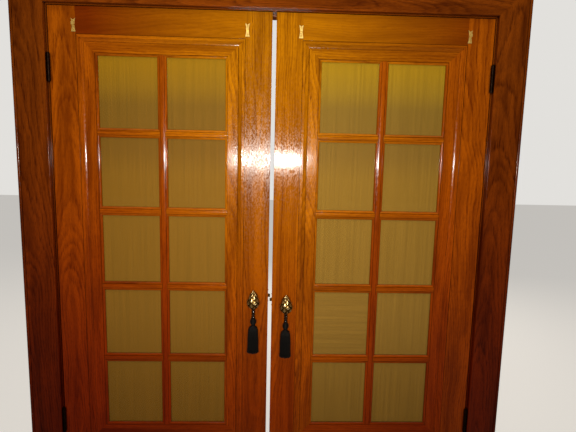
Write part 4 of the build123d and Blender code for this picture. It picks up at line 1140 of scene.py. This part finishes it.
class DOORS_OT_stage(bpy.types.Operator):
    """Set the floor, the soft lights, the background and the camera"""

    bl_idname = "doors.stage"
    bl_label = "Stage"

    def execute(self, context):
        self.lay_floor(context)
        self.light(context)
        self.background(context)
        self.set_camera(context)
        context.scene.view_settings.view_transform = "Standard"
        return {"FINISHED"}

    def lay_floor(self, context):
        """A plain pale floor, wide enough for every view, which the camera alone sees lifted."""
        material, tree = new_material("pale_floor")
        paint = add_node(
            tree, "ShaderNodeBsdfPrincipled", {"Base Color": rgba(linear("#d9d6d0")), "Roughness": 0.9}
        )
        glow = add_node(tree, "ShaderNodeEmission", {"Color": rgba(linear(GROUND)), "Strength": 0.62})
        lifted = add_node(tree, "ShaderNodeAddShader", {0: paint.outputs[0], 1: glow.outputs[0]})
        path = add_node(tree, "ShaderNodeLightPath")
        seen = add_node(
            tree,
            "ShaderNodeMixShader",
            {0: path.outputs["Is Camera Ray"], 1: paint.outputs[0], 2: lifted.outputs[0]},
        )
        add_node(tree, "ShaderNodeOutputMaterial", {"Surface": seen.outputs[0]})
        mesh = bpy.data.meshes.new("floor")
        corners = [(x * FLOOR_REACH, y * FLOOR_REACH, 0) for x, y in ((-1, -1), (1, -1), (1, 1), (-1, 1))]
        mesh.from_pydata(corners, [], [(0, 1, 2, 3)])
        mesh.materials.append(material)
        floor = bpy.data.objects.new("floor", mesh)
        context.scene.collection.objects.link(floor)

    def light(self, context):
        """The lamps, each a soft rectangle turned to its target."""
        for name, place, target, size, beam, power, colour in LAMPS:
            lamp = bpy.data.lights.new(name, "AREA")
            lamp.shape = "RECTANGLE"
            lamp.size, lamp.size_y = size
            lamp.spread = math.radians(beam)
            lamp.energy = power
            lamp.color = linear(colour)
            holder = bpy.data.objects.new(name, lamp)
            holder.location = place
            aim = Vector(target) - Vector(place)
            holder.rotation_euler = aim.to_track_quat("-Z", "Y").to_euler()
            context.scene.collection.objects.link(holder)

    def background(self, context):
        """Soft fill light, a pale ground for the camera and a dim warm room for the gloss."""
        world = bpy.data.worlds.new("studio")
        context.scene.world = world
        world.use_nodes = True
        tree = world.node_tree
        tree.nodes.clear()
        path = add_node(tree, "ShaderNodeLightPath")
        seen = add_node(
            tree,
            "ShaderNodeMath",
            {0: path.outputs["Is Camera Ray"], 1: path.outputs["Is Transmission Ray"]},
            operation="MAXIMUM",
        )
        fill, room, ground = (
            add_node(tree, "ShaderNodeBackground", {"Color": rgba(linear(code)), "Strength": strength})
            for code, strength in (("#fff4e4", 0.09), ("#5c3a18", 1.0), (GROUND, 1.0))
        )
        gloss = add_node(
            tree,
            "ShaderNodeMixShader",
            {0: path.outputs["Is Glossy Ray"], 1: fill.outputs[0], 2: room.outputs[0]},
        )
        mix = add_node(
            tree, "ShaderNodeMixShader", {0: seen.outputs[0], 1: gloss.outputs[0], 2: ground.outputs[0]}
        )
        add_node(tree, "ShaderNodeOutputWorld", {"Surface": mix.outputs[0]})

    def set_camera(self, context):
        """The hand-held camera, 2 m in front of the doors and looking a little down."""
        yaw, pitch, roll = (math.radians(angle) for angle in CAMERA_TURN)
        ahead = Vector((math.sin(yaw) * math.cos(pitch), math.cos(yaw) * math.cos(pitch), -math.sin(pitch)))
        level = Vector((math.cos(yaw), -math.sin(yaw), 0))
        up = level.cross(ahead)
        right = math.cos(roll) * level + math.sin(roll) * up
        up = math.cos(roll) * up - math.sin(roll) * level
        data = bpy.data.cameras.new("camera")
        data.lens = CAMERA_LENS
        data.sensor_width = CAMERA_SENSOR
        camera = bpy.data.objects.new("camera", data)
        turn = Matrix((right, up, -ahead)).transposed().to_4x4()
        camera.matrix_world = Matrix.Translation(CAMERA_PLACE) @ turn
        context.scene.collection.objects.link(camera)
        context.scene.camera = camera


OPERATORS = (
    DOORS_OT_oak,
    DOORS_OT_glazing,
    DOORS_OT_ironmongery,
    DOORS_OT_knobs,
    DOORS_OT_tassels,
    DOORS_OT_stage,
)


class DOORS_PT_panel(bpy.types.Panel):
    """Lists the doors' sizes and colours, and a button for each group of pieces and the stage"""

    bl_label = "Glazed oak doors"
    bl_idname = "DOORS_PT_panel"
    bl_space_type = "VIEW_3D"
    bl_region_type = "UI"
    bl_category = "Doors"

    def draw(self, context):
        for group in (context.scene.door_sizes, context.scene.door_colours):
            for key in group.bl_rna.properties.keys():
                if key not in ("rna_type", "name"):
                    self.layout.prop(group, key)
        for operator in OPERATORS:
            self.layout.operator(operator.bl_idname)


CLASSES = (DoorSizes, DoorColours, *OPERATORS, DOORS_PT_panel)


def register():
    """Adds the classes and the scene's sizes and colours."""
    for cls in CLASSES:
        bpy.utils.register_class(cls)
    bpy.types.Scene.door_sizes = bpy.props.PointerProperty(type=DoorSizes)
    bpy.types.Scene.door_colours = bpy.props.PointerProperty(type=DoorColours)


def unregister():
    """Takes them away again, last first."""
    del bpy.types.Scene.door_colours
    del bpy.types.Scene.door_sizes
    for cls in reversed(CLASSES):
        bpy.utils.unregister_class(cls)


def main():
    """Registers the add-on and makes every piece."""
    register()
    bpy.ops.doors.stage()
    bpy.ops.doors.oak()
    bpy.ops.doors.glazing()
    bpy.ops.doors.ironmongery()
    bpy.ops.doors.knobs()
    bpy.ops.doors.tassels()


if __name__ == "__main__":
    main()
